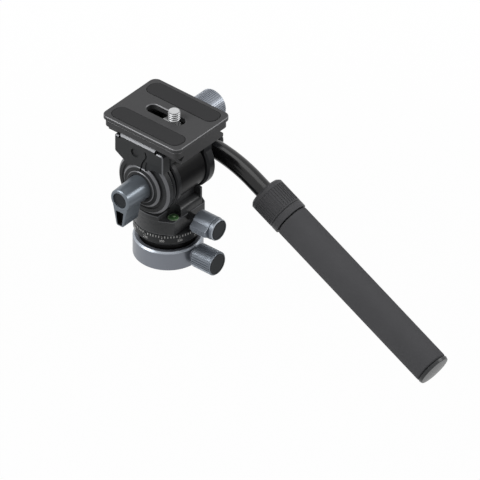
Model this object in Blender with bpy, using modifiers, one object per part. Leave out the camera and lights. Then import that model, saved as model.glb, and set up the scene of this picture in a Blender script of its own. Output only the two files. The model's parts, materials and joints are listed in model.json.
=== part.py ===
"""Fluid video head on a levelling base, with a quick-release plate and a telescopic pan handle.

Metres, +Z up. The origin is the centre of the base's bottom face, which is the tripod seat. +X points
to the person who holds the handle, -Y to the side with the tilt lever.
"""

import math

import bmesh
import bpy
from mathutils import Euler, Matrix, Vector

# Shared clearances and mesh settings
GAP = 0.0003
OVERRUN = 0.001
SINK = 0.0005
MERGE = 0.00001
WELD = 0.000001
LARGE_STEPS = 40
MEDIUM_STEPS = 28
SMALL_STEPS = 20
FILLET_STEPS = 4
SMOOTH_ANGLE = math.radians(35)
BEVEL_ANGLE = math.radians(60)

# Levelling base
BASE_RADIUS = 0.0185
BASE_FOOT_CHAMFER = 0.0005
BASE_HEIGHT = 0.0116
BASE_RIM_DROP = 0.0007
BASE_RIM_INSET = 0.0006
BASE_PLATE_RADIUS = 0.0140
BASE_PLATE_THICKNESS = 0.0033
BUSH_RADIUS = 0.0066
TRIPOD_THREAD_RADIUS = 0.0044
BALL_CENTRE_HEIGHT = 0.0093
BALL_RADIUS = 0.0146
BALL_FOOT_DROP = 0.0038
BALL_CROWN_RISE = 0.0044
BALL_CROWN_STEP = 0.0002
SEAT_THICKNESS = 0.0006
SEAT_DROP = 0.0042
SEAT_TOP_DROP = 0.0005
ARC_STEPS = 4

# Boss and lock screw of the levelling base
BOSS_REACH = 0.0203
BOSS_RADIUS = 0.0040
LEVEL_KNOB_HEIGHT = 0.0069
LEVEL_KNOB_LENGTH = 0.0131
LEVEL_KNOB_RADIUS = 0.0067
LOCK_SCREW_RADIUS = 0.0018
LEVEL_SHOE_LENGTH = 0.0022

# Knobs in general
KNOB_CHAMFER = 0.0006
KNOB_RIB_DEPTH = 0.0003
LEVEL_KNOB_RIBS = 30
CAP_INSET = 0.0009
CAP_THICKNESS = 0.0012
CAP_PROUD = 0.0001
SCREW_GRIP = 0.0070

# Graduated ring and the pan bearing
SCALE_RADIUS = 0.0183
SCALE_FOOT_RADIUS = 0.0154
SCALE_TAPER = 0.0030
SCALE_HEIGHT = 0.0082
SCALE_EDGE = 0.0003
HUB_RADIUS = 0.0125
PAN_SHAFT_RADIUS = 0.0040
PAN_SHAFT_DEPTH = 0.0085
WASHER_RADIUS = 0.0089
WASHER_THICKNESS = 0.0008
DAMPER_RADIUS = 0.0084
DAMPER_THICKNESS = 0.0008
NUT_RADIUS = 0.0062
NUT_THICKNESS = 0.0012
PAN_SHAFT_END = 0.0015

# Pan housing
HOUSING_RADIUS = 0.0183
HOUSING_FRONT = 0.0146
HOUSING_CORNER = 0.0128
HOUSING_CORNER_FILLET = 0.0021
DECK_RISE = 0.0112
NECK_NEAR = 0.0058
NECK_FAR = 0.0124
SHOULDER_RISE = 0.0030
SHOULDER_FILLET = 0.0034
PEDESTAL_HALF_WIDTH = 0.0098
PEDESTAL_RISE = 0.0080
NECK_FRONT = 0.0143
CHEEK_THICKNESS = 0.0014
CHEEK_RISE = 0.0048
STEP_BACK = 0.0074
STEP_DROP = 0.0027
VIAL_X = 0.0116
VIAL_Y = 0.0090
VIAL_RADIUS = 0.0033
VIAL_DOME = 0.0009
VIAL_PROUD = 0.0008
VIAL_DEPTH = 0.0026
VIAL_NOTCH_RADIUS = 0.0040
HEAD_SHIFT = 0.0017
BEARING_CAVITY_RADIUS = 0.0092
BEARING_CAVITY_DEPTH = 0.0037
SHAFT_CAVITY_DEPTH = 0.0116

# Pan lock knob
PAN_KNOB_RISE = 0.0063
PAN_KNOB_START = 0.0214
PAN_KNOB_RADIUS = 0.0063
PAN_HEAD_RADIUS = 0.0060
PAN_KNOB_LENGTH = 0.0135
PAN_WING_REACH = 0.0083
PAN_WING_TIP = 0.0032
PAN_WING_LENGTH = 0.0107
PAN_WING_CORNER = 0.0018
PAN_WING_CORNER_RISE = 0.0013
PAN_SCREW_RADIUS = 0.0020
WING_GROOVE_DEPTH = 0.0003
WING_GROOVE_WIDTH = 0.0004
WING_GROOVE_PITCH = 0.0009
PAN_SHOE_LENGTH = 0.0030

# Shapes of the wing and of the paddle, as shares of the knob's or lever's own sizes
WING_ROOT_SHARE = 0.80
WING_SEAT_SHARE = 0.55
WING_FILLET_SHARE = 0.30
WING_GROOVE_RISE_SHARE = 0.33
EYE_CHAMFER_SHARE = 0.3
SLOT_FILLET_SHARE = 0.49
POCKET_FILLET_SHARE = 0.3

# Tilt barrel and its stepped rings
BARREL_LIFT = 0.0002
BARREL_RADIUS = 0.0159
BARREL_NEAR = 0.0063
BARREL_FAR = 0.0132
BARREL_EDGE = 0.0005
BARREL_WALL = 0.0032
BARREL_END_WALL = 0.0030
COVER_STEP = 0.0012
COVER_WIDTH = 0.0037
RING_STEP = 0.0008
RING_WIDTH = 0.0025
RING_EDGE = 0.0007
AXLE_RADIUS = 0.0030
AXLE_BORE_GAP = 0.0003
AXLE_FAR = 0.0118
BUSH_WALL = 0.0012
ROTOR_WALL = 0.0020
ROTOR_HUB_RADIUS = 0.0085

# Near side plate: disc, shield and fixed jaw
DISC_STEP = 0.0015
DISC_FACE = 0.0180
DISC_BEVEL = 0.0008
SHIELD_FACE = 0.0200
SHIELD_LEFT = 0.0182
SHIELD_RIGHT = 0.0146
SHIELD_LEFT_DROP = 0.0020
SHIELD_RIGHT_DROP = 0.0035
SHIELD_FILLET = 0.0015
LUG_LEFT = 0.0147
LUG_RIGHT = 0.0097
LUG_RISE = 0.0025
LUG_BEVEL = 0.0014
BLOCK_TIP_X = 0.0085
BLOCK_TIP_DROP = 0.0078
STEM_LEFT_X = 0.0050
STEM_DROP = 0.0057
STEM_RIGHT_X = 0.0030
GROOVE_WIDTH = 0.0009
GROOVE_X = 0.0024
GROOVE_FOOT_X = -0.0005
GROOVE_KNEE_RISE = 0.0008
RECESS_DEPTH = 0.0008
RECESS_RADIUS = 0.0026
RECESS_X = -0.0043
RECESS_RISE = 0.0025

# Far side plate
FAR_PLATE_THICKNESS = 0.0060
FAR_ARM_HALF_WIDTH = 0.0146
FAR_PLATE_BEVEL = 0.0010

# Clamp platform and jaws
CLAMP_X = -0.0008
PLATFORM_LIFT = 0.0008
PLATFORM_THICKNESS = 0.0067
PLATFORM_FAR = 0.0171
PLATFORM_EDGE = 0.0005
JAW_RISE = 0.0041
JAW_DROP = 0.0055
JAW_THICKNESS = 0.0046
JAW_HALF_LENGTH = 0.0150
JAW_TRAVEL_GAP = 0.0004
GUIDE_PIN_RADIUS = 0.0011
GUIDE_PIN_SPACING = 0.0190
GUIDE_PIN_DEPTH = 0.0080
CLAMP_AXIS_DROP = 0.0029
CLAMP_SCREW_RADIUS = 0.0019
CLAMP_SCREW_NEAR = 0.0085
CLAMP_BORE_NEAR = 0.0100
COLLAR_RADIUS = 0.0070
COLLAR_LENGTH = 0.0042
CLAMP_KNOB_RADIUS = 0.0084
CLAMP_KNOB_LENGTH = 0.0128
CLAMP_KNOB_RIBS = 36

# Tilt lever
LEVER_REACH = 0.0374
LEVER_ROOT_RADIUS = 0.0071
LEVER_TIP_RADIUS = 0.0062
LEVER_CHAMFER = 0.0007
LEVER_CAP_RADIUS = 0.0041
LEVER_CAP_RECESS = 0.0006
LEVER_BORE_DEPTH = 0.0100
PADDLE_LENGTH = 0.0122
PADDLE_DROP = 0.0164
PADDLE_TIP = 0.0046
PADDLE_POCKET_WIDTH = 0.0030
PADDLE_POCKET_TOP = 0.0074
PADDLE_POCKET_DEPTH = 0.0030
PADDLE_RIM = 0.0011

# Quick-release plate
PLATE_LENGTH = 0.0526
PLATE_WIDTH = 0.0438
PLATE_LIFT = 0.0004
PLATE_SLAB = 0.0038
PLATE_CORNER = 0.0042
PLATE_BEVEL = 0.0005
PLATE_GROOVE_HEIGHT = 0.0004
PLATE_GROOVE_DEPTH = 0.0016
PLATE_LOWER_SLAB = 0.0029
PLATE_LOWER_INSET = 0.0012
DOVETAIL_TOP_HALF = 0.0144
DOVETAIL_HALF = 0.0168
DOVETAIL_EDGE = 0.0015
SLOT_LENGTH = 0.0246
SLOT_WIDTH = 0.0070
SLOT_ROOF = 0.0032
POCKET_LENGTH = 0.0400
POCKET_WIDTH = 0.0180
PAD_LENGTH = 0.0462
PAD_WIDTH = 0.0101
PAD_OFFSET = 0.0141
PAD_CORNER = 0.0044
PAD_THICKNESS = 0.0012
PAD_PROUD = 0.0003
PAD_MARGIN = 0.0003

# Camera screw
CAMERA_SCREW_RADIUS = 0.003175
CAMERA_SCREW_PROUD = 0.0050
CAMERA_SCREW_X = 0.0056
CAMERA_SCREW_POINT = 0.0005
CAMERA_SCREW_NECK = 0.0026
FLANGE_RADIUS = 0.0060
FLANGE_THICKNESS = 0.0012
WASHER_SEAT_RADIUS = 0.0076
WASHER_SEAT_THICKNESS = 0.0006

# Handle mount
HANDLE_Y = 0.0307
ROSETTE_RADIUS = 0.0072
ROSETTE_SPLIT = 0.0024
EYE_RADIUS = 0.0068
HANDLE_BOLT_RADIUS = 0.0024
HANDLE_BOLT_DEPTH = 0.0040
HANDLE_KNOB_RADIUS = 0.0064
HANDLE_KNOB_THICKNESS = 0.0040
HANDLE_KNOB_DOME = 0.0012

# Handle tube: a level start, one bend, then straight into the grip
TUBE_RADIUS = 0.0050
TUBE_START = 0.0020
TUBE_BEND_RADIUS = 0.0695
TUBE_DROP_ANGLE = math.radians(27.8)
TUBE_BEND_STEPS = 10
TUBE_BEVEL_STEPS = 6
TUBE_STRAIGHT = 0.1120
STOP_LENGTH = 0.0040
STOP_LIP = 0.0003

# Grip, measured along the straight part of the tube
COLLAR_START = 0.0081
TWIST_COLLAR_RADIUS = 0.01015
TWIST_COLLAR_LENGTH = 0.0200
TWIST_COLLAR_BORE = 0.0070
TWIST_COLLAR_LIP = 0.0022
TWIST_COLLAR_CHAMFER = 0.0013
TWIST_COLLAR_RIBS = 40
TWIST_RIB_DEPTH = 0.00035
COLLET_LENGTH = 0.0110
COLLET_SLOT = 0.0012
COLLET_SLOTS = 3
COLLET_RING = 0.0030
GRIP_TUBE_OUTER = 0.0067
GRIP_TUBE_INNER = 0.0057
FOAM_RADIUS = 0.0095
FOAM_LENGTH = 0.1085
FOAM_EDGE = 0.0012
END_CAP_RADIUS = 0.0096
END_CAP_THICKNESS = 0.0024
END_CAP_DOME = 0.0006
END_PLUG_LENGTH = 0.0080
GRIP_TUBE_SETBACK = 0.0016

# Places worked out from the sizes above
SOCKET_RADIUS = BALL_RADIUS + GAP + SEAT_THICKNESS + GAP
BASE_RIM_RADIUS = BASE_RADIUS - BASE_RIM_INSET
BASE_WALL_HEIGHT = BASE_HEIGHT - BASE_RIM_DROP
SCALE_FOOT_HEIGHT = BALL_CENTRE_HEIGHT + BALL_CROWN_RISE + BALL_CROWN_STEP + GAP
SCALE_TOP = SCALE_FOOT_HEIGHT + SCALE_HEIGHT
HOUSING_FOOT = SCALE_TOP + GAP
PAN_KNOB_HEIGHT = HOUSING_FOOT + PAN_KNOB_RISE
DECK_HEIGHT = HOUSING_FOOT + DECK_RISE
STEP_HEIGHT = DECK_HEIGHT - STEP_DROP
SHOULDER_HEIGHT = DECK_HEIGHT + SHOULDER_RISE
CHEEK_HEIGHT = SHOULDER_HEIGHT + CHEEK_RISE
TILT_HEIGHT = SHOULDER_HEIGHT + BARREL_LIFT + BARREL_RADIUS
COVER_RADIUS = BARREL_RADIUS + COVER_STEP
RING_RADIUS = BARREL_RADIUS + RING_STEP
DISC_RADIUS = BARREL_RADIUS + DISC_STEP
PLATFORM_FOOT = TILT_HEIGHT + BARREL_RADIUS + PLATFORM_LIFT
CLAMP_FLOOR = PLATFORM_FOOT + PLATFORM_THICKNESS
CLAMP_AXIS_HEIGHT = CLAMP_FLOOR - CLAMP_AXIS_DROP
JAW_FOOT = CLAMP_FLOOR - JAW_DROP
JAW_TOP = CLAMP_FLOOR + JAW_RISE
SHIELD_SHOULDER = JAW_TOP - LUG_RISE
SHIELD_LEFT_FOOT = PLATFORM_FOOT - SHIELD_LEFT_DROP
SHIELD_RIGHT_FOOT = PLATFORM_FOOT - SHIELD_RIGHT_DROP
BLOCK_TIP_HEIGHT = PLATFORM_FOOT - BLOCK_TIP_DROP
STEM_HEIGHT = PLATFORM_FOOT - STEM_DROP
GROOVE_KNEE_HEIGHT = PLATFORM_FOOT + GROOVE_KNEE_RISE
RECESS_HEIGHT = PLATFORM_FOOT + RECESS_RISE
LOWER_SLAB_FOOT = JAW_TOP + PLATE_LIFT
LOWER_SLAB_TOP = LOWER_SLAB_FOOT + PLATE_LOWER_SLAB
PLATE_TOP = LOWER_SLAB_TOP + PLATE_GROOVE_HEIGHT + PLATE_SLAB
COVER_NEAR = BARREL_NEAR + GAP + COVER_WIDTH
RING_NEAR = COVER_NEAR + 2 * GAP + RING_WIDTH
DISC_BACK = RING_NEAR + GAP
FAR_PLATE_NEAR = BARREL_FAR + 2 * GAP
FAR_PLATE_FACE = FAR_PLATE_NEAR + FAR_PLATE_THICKNESS
DOVETAIL_FOOT = CLAMP_FLOOR + GAP
LEVEL_KNOB_START = BOSS_REACH + GAP
EYE_HALF = TUBE_RADIUS
BEND_END_X = TUBE_START + TUBE_BEND_RADIUS * math.sin(TUBE_DROP_ANGLE)
BEND_END_Z = TILT_HEIGHT - TUBE_BEND_RADIUS * (1 - math.cos(TUBE_DROP_ANGLE))
FOAM_START = COLLAR_START + TWIST_COLLAR_LENGTH + GAP
FOAM_END = FOAM_START + FOAM_LENGTH
HANDLE_DIRECTION = Vector((math.cos(TUBE_DROP_ANGLE), 0, -math.sin(TUBE_DROP_ANGLE)))

# Rotations that lay a shape's own Z along a world direction
ALONG_Z = (0, 0, 0)
ALONG_X = (0, math.pi / 2, 0)
ALONG_Y = (-math.pi / 2, 0, 0)
ALONG_MINUS_Y = (math.pi / 2, 0, 0)
ALONG_HANDLE = (0, math.pi / 2 + TUBE_DROP_ANGLE, 0)
FACING_X = (math.pi / 2, 0, math.pi / 2)


# Scene, materials and placing

def clear_scene():
    """Remove what the startup file holds."""
    for item in list(bpy.data.objects):
        bpy.data.objects.remove(item, do_unlink=True)


def new_collection(name):
    group = bpy.data.collections.new(name)
    bpy.context.scene.collection.children.link(group)
    return group


def new_material(name, colour, roughness, metallic):
    """A Principled material from a linear RGB colour."""
    material = bpy.data.materials.new(name)
    material.use_nodes = True
    shader = material.node_tree.nodes["Principled BSDF"]
    shader.inputs["Base Color"].default_value = (*colour, 1)
    shader.inputs["Roughness"].default_value = roughness
    shader.inputs["Metallic"].default_value = metallic
    material.diffuse_color = (*colour, 1)
    return material


def new_smoothing():
    """A node group that shades smooth across every edge flatter than the smoothing angle."""
    tree = bpy.data.node_groups.new("Smooth by angle", "GeometryNodeTree")
    for way in ("INPUT", "OUTPUT"):
        tree.interface.new_socket("Geometry", in_out=way, socket_type="NodeSocketGeometry")
    entry = tree.nodes.new("NodeGroupInput")
    leave = tree.nodes.new("NodeGroupOutput")
    angle = tree.nodes.new("GeometryNodeInputMeshEdgeAngle")
    flatter = tree.nodes.new("FunctionNodeCompare")
    flatter.operation = "LESS_THAN"
    flatter.inputs["B"].default_value = SMOOTH_ANGLE
    edges = tree.nodes.new("GeometryNodeSetShadeSmooth")
    edges.domain = "EDGE"
    faces = tree.nodes.new("GeometryNodeSetShadeSmooth")
    faces.domain = "FACE"
    tree.links.new(angle.outputs["Unsigned Angle"], flatter.inputs["A"])
    tree.links.new(entry.outputs["Geometry"], edges.inputs["Geometry"])
    tree.links.new(flatter.outputs["Result"], edges.inputs["Shade Smooth"])
    tree.links.new(edges.outputs["Geometry"], faces.inputs["Geometry"])
    tree.links.new(faces.outputs["Geometry"], leave.inputs["Geometry"])
    return tree


def handle_point(distance):
    """A point on the straight part of the handle, at a distance from the end of the bend."""
    start = Vector((BEND_END_X, HANDLE_Y, BEND_END_Z))
    return start + HANDLE_DIRECTION * distance


class Workshop:
    """Holds the collections and materials, and finishes each piece."""

    def __init__(self):
        self.parts = new_collection("fluid_video_head")
        self.cutters = new_collection("cutters")
        self.materials = {
            "black_metal": new_material("black_metal", (0.017, 0.017, 0.018), 0.38, 0.6),
            "gloss_black": new_material("gloss_black", (0.013, 0.013, 0.014), 0.22, 0.7),
            "grey_anodised": new_material("grey_anodised", (0.16, 0.18, 0.21), 0.33, 0.9),
            "dark_plastic": new_material("dark_plastic", (0.022, 0.024, 0.026), 0.5, 0.0),
            "white_plastic": new_material("white_plastic", (0.75, 0.74, 0.70), 0.45, 0.0),
            "steel": new_material("steel", (0.6, 0.6, 0.59), 0.3, 1.0),
            "bronze": new_material("bronze", (0.55, 0.36, 0.16), 0.35, 1.0),
            "rubber": new_material("rubber", (0.02, 0.02, 0.021), 0.8, 0.0),
            "foam": new_material("foam", (0.075, 0.075, 0.078), 0.95, 0.0),
            "green_vial": new_material("green_vial", (0.03, 0.16, 0.05), 0.1, 0.0),
        }
        self.smoothing = new_smoothing()
        self.joints = {}

    def joint(self, name, place, parent=None):
        """An empty that stands on a joint's axis and carries the pieces that move there."""
        empty = bpy.data.objects.new(name, None)
        empty.empty_display_size = BALL_RADIUS
        self.parts.objects.link(empty)
        empty.location = place
        if parent:
            self.carry(empty, parent)
        bpy.context.view_layer.update()
        self.joints[name] = empty
        return empty

    def carry(self, piece, joint):
        """Parent a piece and its Boolean tools to a joint's empty and leave them where they are."""
        carrier = self.joints[joint]
        piece.parent = carrier
        piece.matrix_parent_inverse = carrier.matrix_world.inverted()
        for modifier in piece.modifiers:
            if modifier.type == "BOOLEAN":
                self.carry(modifier.object, joint)

    def finish(self, piece, material, joint):
        """Give a piece its shading, its material, its collection and the joint that carries it."""
        smooth = piece.modifiers.new("Smooth by angle", "NODES")
        smooth.node_group = self.smoothing
        piece.data.materials.clear()
        piece.data.materials.append(self.materials[material])
        for group in list(piece.users_collection):
            group.objects.unlink(piece)
        self.parts.objects.link(piece)
        self.carry(piece, joint)

    def tool(self, piece):
        """Keep a shape only as a Boolean tool."""
        for group in list(piece.users_collection):
            group.objects.unlink(piece)
        self.cutters.objects.link(piece)
        piece.hide_render = True
        piece.display_type = "WIRE"
        return piece

    def place_along_handle(self, piece, distance):
        """Turn a shape made at the origin so that its Z runs along the handle, and move it there."""
        bpy.context.view_layer.update()
        turn = Euler(ALONG_HANDLE).to_matrix().to_4x4()
        piece.matrix_world = Matrix.Translation(handle_point(distance)) @ turn @ piece.matrix_world
        bpy.context.view_layer.update()

    def combine(self, piece, shape, operation):
        shape = self.tool(shape)
        modifier = piece.modifiers.new(f"{operation.title()} {shape.name}", "BOOLEAN")
        modifier.operation = operation
        modifier.solver = "EXACT"
        modifier.object = shape
        return piece

    def cut(self, piece, shape):
        return self.combine(piece, shape, "DIFFERENCE")

    def add(self, piece, shape):
        return self.combine(piece, shape, "UNION")

    def keep(self, piece, shape):
        return self.combine(piece, shape, "INTERSECT")


# Shapes

def link(name, data, place, turn):
    piece = bpy.data.objects.new(name, data)
    bpy.context.scene.collection.objects.link(piece)
    piece.location = place
    piece.rotation_euler = turn
    bpy.context.view_layer.update()
    return piece


def turned(name, profile, place, turn=ALONG_Z, steps=MEDIUM_STEPS, closed=False):
    """A turned shape from (radius, height) pairs, listed down the outer side; closed for one with a bore."""
    count = len(profile)
    edges = [(i, i + 1) for i in range(count - 1)]
    if closed:
        edges.append((count - 1, 0))
    mesh = bpy.data.meshes.new(name)
    mesh.from_pydata([(radius, 0, height) for radius, height in profile], edges, [])
    piece = link(name, mesh, place, turn)
    screw = piece.modifiers.new("Turn", "SCREW")
    screw.steps = steps
    screw.render_steps = steps
    screw.use_merge_vertices = True
    screw.merge_threshold = MERGE
    screw.use_smooth_shade = False
    return piece


def bevelled(piece, width, segments=1):
    """Bevel the edges that are sharper than the bevel angle."""
    bevel = piece.modifiers.new("Edge", "BEVEL")
    bevel.width = width
    bevel.segments = segments
    bevel.limit_method = "ANGLE"
    bevel.angle_limit = BEVEL_ANGLE
    return piece


def rod(name, radius, start, end, place, turn=ALONG_Z, steps=SMALL_STEPS, chamfer=0.0):
    """A cylinder between two heights on its own axis, with an optional chamfer at both ends."""
    mesh = bpy.data.meshes.new(name)
    shape = bmesh.new()
    bmesh.ops.create_cone(
        shape, cap_ends=True, segments=steps, radius1=radius, radius2=radius, depth=end - start)
    bmesh.ops.translate(shape, vec=(0, 0, (start + end) / 2), verts=shape.verts)
    shape.to_mesh(mesh)
    shape.free()
    piece = link(name, mesh, place, turn)
    return bevelled(piece, chamfer) if chamfer else piece


def ring(name, outer, inner, start, end, place, turn=ALONG_Z, steps=SMALL_STEPS, chamfer=0.0):
    """A cylinder with a bore between two heights on its own axis."""
    profile = [(inner, end), (outer - chamfer, end)]
    if chamfer:
        profile += [(outer, end - chamfer), (outer, start + chamfer)]
    profile += [(outer - chamfer, start), (inner, start)]
    return turned(name, profile, place, turn, steps, closed=True)


def box(name, low, high, fillet=0.0, segments=2):
    """A box between two corners, with rounded edges."""
    low, high = Vector(low), Vector(high)
    mesh = bpy.data.meshes.new(name)
    shape = bmesh.new()
    bmesh.ops.create_cube(shape, size=1)
    bmesh.ops.scale(shape, vec=high - low, verts=shape.verts)
    shape.to_mesh(mesh)
    shape.free()
    piece = link(name, mesh, (low + high) / 2, ALONG_Z)
    return bevelled(piece, fillet, segments) if fillet else piece


def arc(centre, radius, start, end, steps):
    """Points on an arc, angles in degrees."""
    points = []
    for i in range(steps + 1):
        angle = math.radians(start + (end - start) * i / steps)
        points.append((centre[0] + radius * math.cos(angle), centre[1] + radius * math.sin(angle)))
    return points


def rounded(corners, steps=FILLET_STEPS):
    """An outline from (x, y, fillet) corners, with an arc at each corner that has a fillet."""
    outline = []
    count = len(corners)
    for i, (x, y, fillet) in enumerate(corners):
        here = Vector((x, y))
        if not fillet:
            outline.append((x, y))
            continue
        back = (Vector(corners[i - 1][:2]) - here).normalized()
        ahead = (Vector(corners[(i + 1) % count][:2]) - here).normalized()
        half = back.angle(ahead) / 2
        reach = fillet / math.tan(half)
        centre = here + (back + ahead).normalized() * (fillet / math.sin(half))
        first = here + back * reach - centre
        last = here + ahead * reach - centre
        start = math.atan2(first.y, first.x)
        sweep = math.remainder(math.atan2(last.y, last.x) - start, 2 * math.pi)
        outline += arc(centre, fillet, math.degrees(start), math.degrees(start + sweep), steps)
    return outline


def rectangle(width, height, fillet=0.0, centre=(0.0, 0.0)):
    x, y = centre
    w, h = width / 2, height / 2
    return rounded([
        (x - w, y - h, fillet), (x + w, y - h, fillet), (x + w, y + h, fillet), (x - w, y + h, fillet)])


def mesh_from_curve(curve_object):
    """Replace a curve object by a mesh object of the same shape, with its caps welded on."""
    bpy.context.view_layer.update()
    graph = bpy.context.evaluated_depsgraph_get()
    mesh = bpy.data.meshes.new_from_object(curve_object.evaluated_get(graph))
    name = curve_object.name
    matrix = curve_object.matrix_world.copy()
    bpy.data.objects.remove(curve_object, do_unlink=True)
    shape = bmesh.new()
    shape.from_mesh(mesh)
    bmesh.ops.remove_doubles(shape, verts=shape.verts, dist=WELD)
    bmesh.ops.recalc_face_normals(shape, faces=shape.faces)
    shape.to_mesh(mesh)
    shape.free()
    mesh.name = name
    piece = bpy.data.objects.new(name, mesh)
    bpy.context.scene.collection.objects.link(piece)
    piece.matrix_world = matrix
    bpy.context.view_layer.update()
    return piece


def extruded(name, outline, thickness, place, turn=ALONG_Z):
    """A flat outline with a thickness, centred on its place."""
    curve = bpy.data.curves.new(name, "CURVE")
    curve.dimensions = "2D"
    curve.fill_mode = "BOTH"
    curve.extrude = thickness / 2
    spline = curve.splines.new("POLY")
    spline.points.add(len(outline) - 1)
    for point, (x, y) in zip(spline.points, outline):
        point.co = (x, y, 0, 1)
    spline.use_cyclic_u = True
    return mesh_from_curve(link(name, curve, place, turn))


def tube(name, points, radius, bevel_steps):
    """A round rod along a line of points."""
    curve = bpy.data.curves.new(name, "CURVE")
    curve.dimensions = "3D"
    curve.bevel_depth = radius
    curve.bevel_resolution = bevel_steps
    curve.use_fill_caps = True
    spline = curve.splines.new("POLY")
    spline.points.add(len(points) - 1)
    for spline_point, point in zip(spline.points, points):
        spline_point.co = (*point, 1)
    return mesh_from_curve(link(name, curve, (0, 0, 0), ALONG_Z))


def side_plate(name, outline, near, far):
    """An outline in X and Z between two depths, given as distances towards -Y."""
    middle = -(near + far) / 2
    return extruded(name, outline, abs(near - far), (0, middle, 0), ALONG_MINUS_Y)


def front_section(name, outline, start, end):
    """An outline in Y and Z between two values of X."""
    return extruded(name, outline, end - start, ((start + end) / 2, 0, 0), FACING_X)


def ribbed_outline(radius, depth, ribs, rib_share=0.5):
    """A round outline with straight ribs; rib_share is the part of the pitch that a rib takes."""
    outline = []
    pitch = 2 * math.pi / ribs
    for i in range(ribs):
        start = i * pitch
        for radial, angle in (
            (radius, start),
            (radius, start + pitch * rib_share),
            (radius - depth, start + pitch * (1 + rib_share) / 2),
        ):
            outline.append((radial * math.cos(angle), radial * math.sin(angle)))
    return outline


def knob_profile(radius, length, chamfer, cap_radius, bore_radius, bore_length):
    """Profile of a knob from its root at height zero to its face, recessed for an end disc and bored."""
    face = length - CAP_THICKNESS
    return [
        (0, face - GAP),
        (cap_radius + GAP, face - GAP),
        (cap_radius + GAP, length),
        (radius - chamfer, length),
        (radius, length - chamfer),
        (radius, chamfer),
        (radius - chamfer, 0),
        (bore_radius, 0),
        (bore_radius, bore_length),
        (0, bore_length),
    ]


# Levelling base

def build_base(shop):
    shop.joint("levelling_base", (0, 0, 0))
    foot_drop = BALL_CENTRE_HEIGHT - BASE_PLATE_THICKNESS - GAP
    low = -math.degrees(math.asin(foot_drop / SOCKET_RADIUS))
    high = math.degrees(math.asin((BASE_HEIGHT - BALL_CENTRE_HEIGHT) / SOCKET_RADIUS))
    socket = arc((0, BALL_CENTRE_HEIGHT), SOCKET_RADIUS, low, high, ARC_STEPS)
    profile = [
        (BASE_RIM_RADIUS, BASE_HEIGHT),
        (BASE_RADIUS, BASE_WALL_HEIGHT),
        (BASE_RADIUS, BASE_FOOT_CHAMFER),
        (BASE_RADIUS - BASE_FOOT_CHAMFER, 0),
        (BASE_PLATE_RADIUS + GAP, 0),
        (BASE_PLATE_RADIUS + GAP, BASE_PLATE_THICKNESS + GAP),
    ] + socket
    body = turned("base_ring", profile, (0, 0, 0), steps=LARGE_STEPS, closed=True)
    boss = rod(
        "boss", BOSS_RADIUS, BASE_RADIUS - 2 * SINK, BOSS_REACH, (0, 0, LEVEL_KNOB_HEIGHT), ALONG_X)
    shop.add(body, boss)
    bore = rod(
        "level_screw_bore", LOCK_SCREW_RADIUS + GAP, 0, BOSS_REACH + OVERRUN,
        (0, 0, LEVEL_KNOB_HEIGHT), ALONG_X, SMALL_STEPS)
    shop.cut(body, bore)
    shop.finish(body, "grey_anodised", "levelling_base")

    floor = ring(
        "base_plate", BASE_PLATE_RADIUS, BUSH_RADIUS + GAP, 0, BASE_PLATE_THICKNESS,
        (0, 0, 0), steps=MEDIUM_STEPS)
    shop.finish(floor, "black_metal", "levelling_base")
    bush = ring("thread_bush", BUSH_RADIUS, TRIPOD_THREAD_RADIUS, 0, BASE_PLATE_THICKNESS, (0, 0, 0))
    shop.finish(bush, "steel", "levelling_base")

    shoe_start = SOCKET_RADIUS + GAP
    shoe = rod(
        "level_shoe", LOCK_SCREW_RADIUS, shoe_start - LEVEL_SHOE_LENGTH / 2,
        shoe_start + LEVEL_SHOE_LENGTH / 2, (0, 0, LEVEL_KNOB_HEIGHT), ALONG_X)
    sphere = turned(
        "seat_clearance", arc((0, 0), SOCKET_RADIUS, 90, -90, 2 * ARC_STEPS),
        (0, 0, BALL_CENTRE_HEIGHT), steps=LARGE_STEPS)
    shop.cut(shoe, sphere)
    shop.finish(shoe, "bronze", "levelling_base")


def build_level_knob(shop):
    place = (LEVEL_KNOB_START, 0, LEVEL_KNOB_HEIGHT)
    shop.joint("level_lock", place, "levelling_base")
    cap_radius = LEVEL_KNOB_RADIUS - CAP_INSET
    outline = ribbed_outline(LEVEL_KNOB_RADIUS, KNOB_RIB_DEPTH, LEVEL_KNOB_RIBS)
    middle = (LEVEL_KNOB_START + LEVEL_KNOB_LENGTH / 2, 0, LEVEL_KNOB_HEIGHT)
    knob = extruded("level_knob", outline, LEVEL_KNOB_LENGTH + SINK, middle, FACING_X)
    blank = turned(
        "level_knob_blank",
        knob_profile(
            LEVEL_KNOB_RADIUS + SINK, LEVEL_KNOB_LENGTH, KNOB_CHAMFER + SINK, cap_radius,
            LOCK_SCREW_RADIUS + GAP, SCREW_GRIP + GAP),
        place, ALONG_X)
    shop.keep(knob, blank)
    shop.finish(knob, "grey_anodised", "level_lock")
    cap = rod(
        "level_knob_cap", cap_radius, LEVEL_KNOB_LENGTH - CAP_THICKNESS,
        LEVEL_KNOB_LENGTH + CAP_PROUD, place, ALONG_X, MEDIUM_STEPS)
    shop.finish(cap, "dark_plastic", "level_lock")
    screw_start = SOCKET_RADIUS + GAP + LEVEL_SHOE_LENGTH / 2 + GAP
    screw = rod(
        "level_lock_screw", LOCK_SCREW_RADIUS, screw_start, LEVEL_KNOB_START + SCREW_GRIP,
        (0, 0, LEVEL_KNOB_HEIGHT), ALONG_X)
    shop.finish(screw, "steel", "level_lock")


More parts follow.
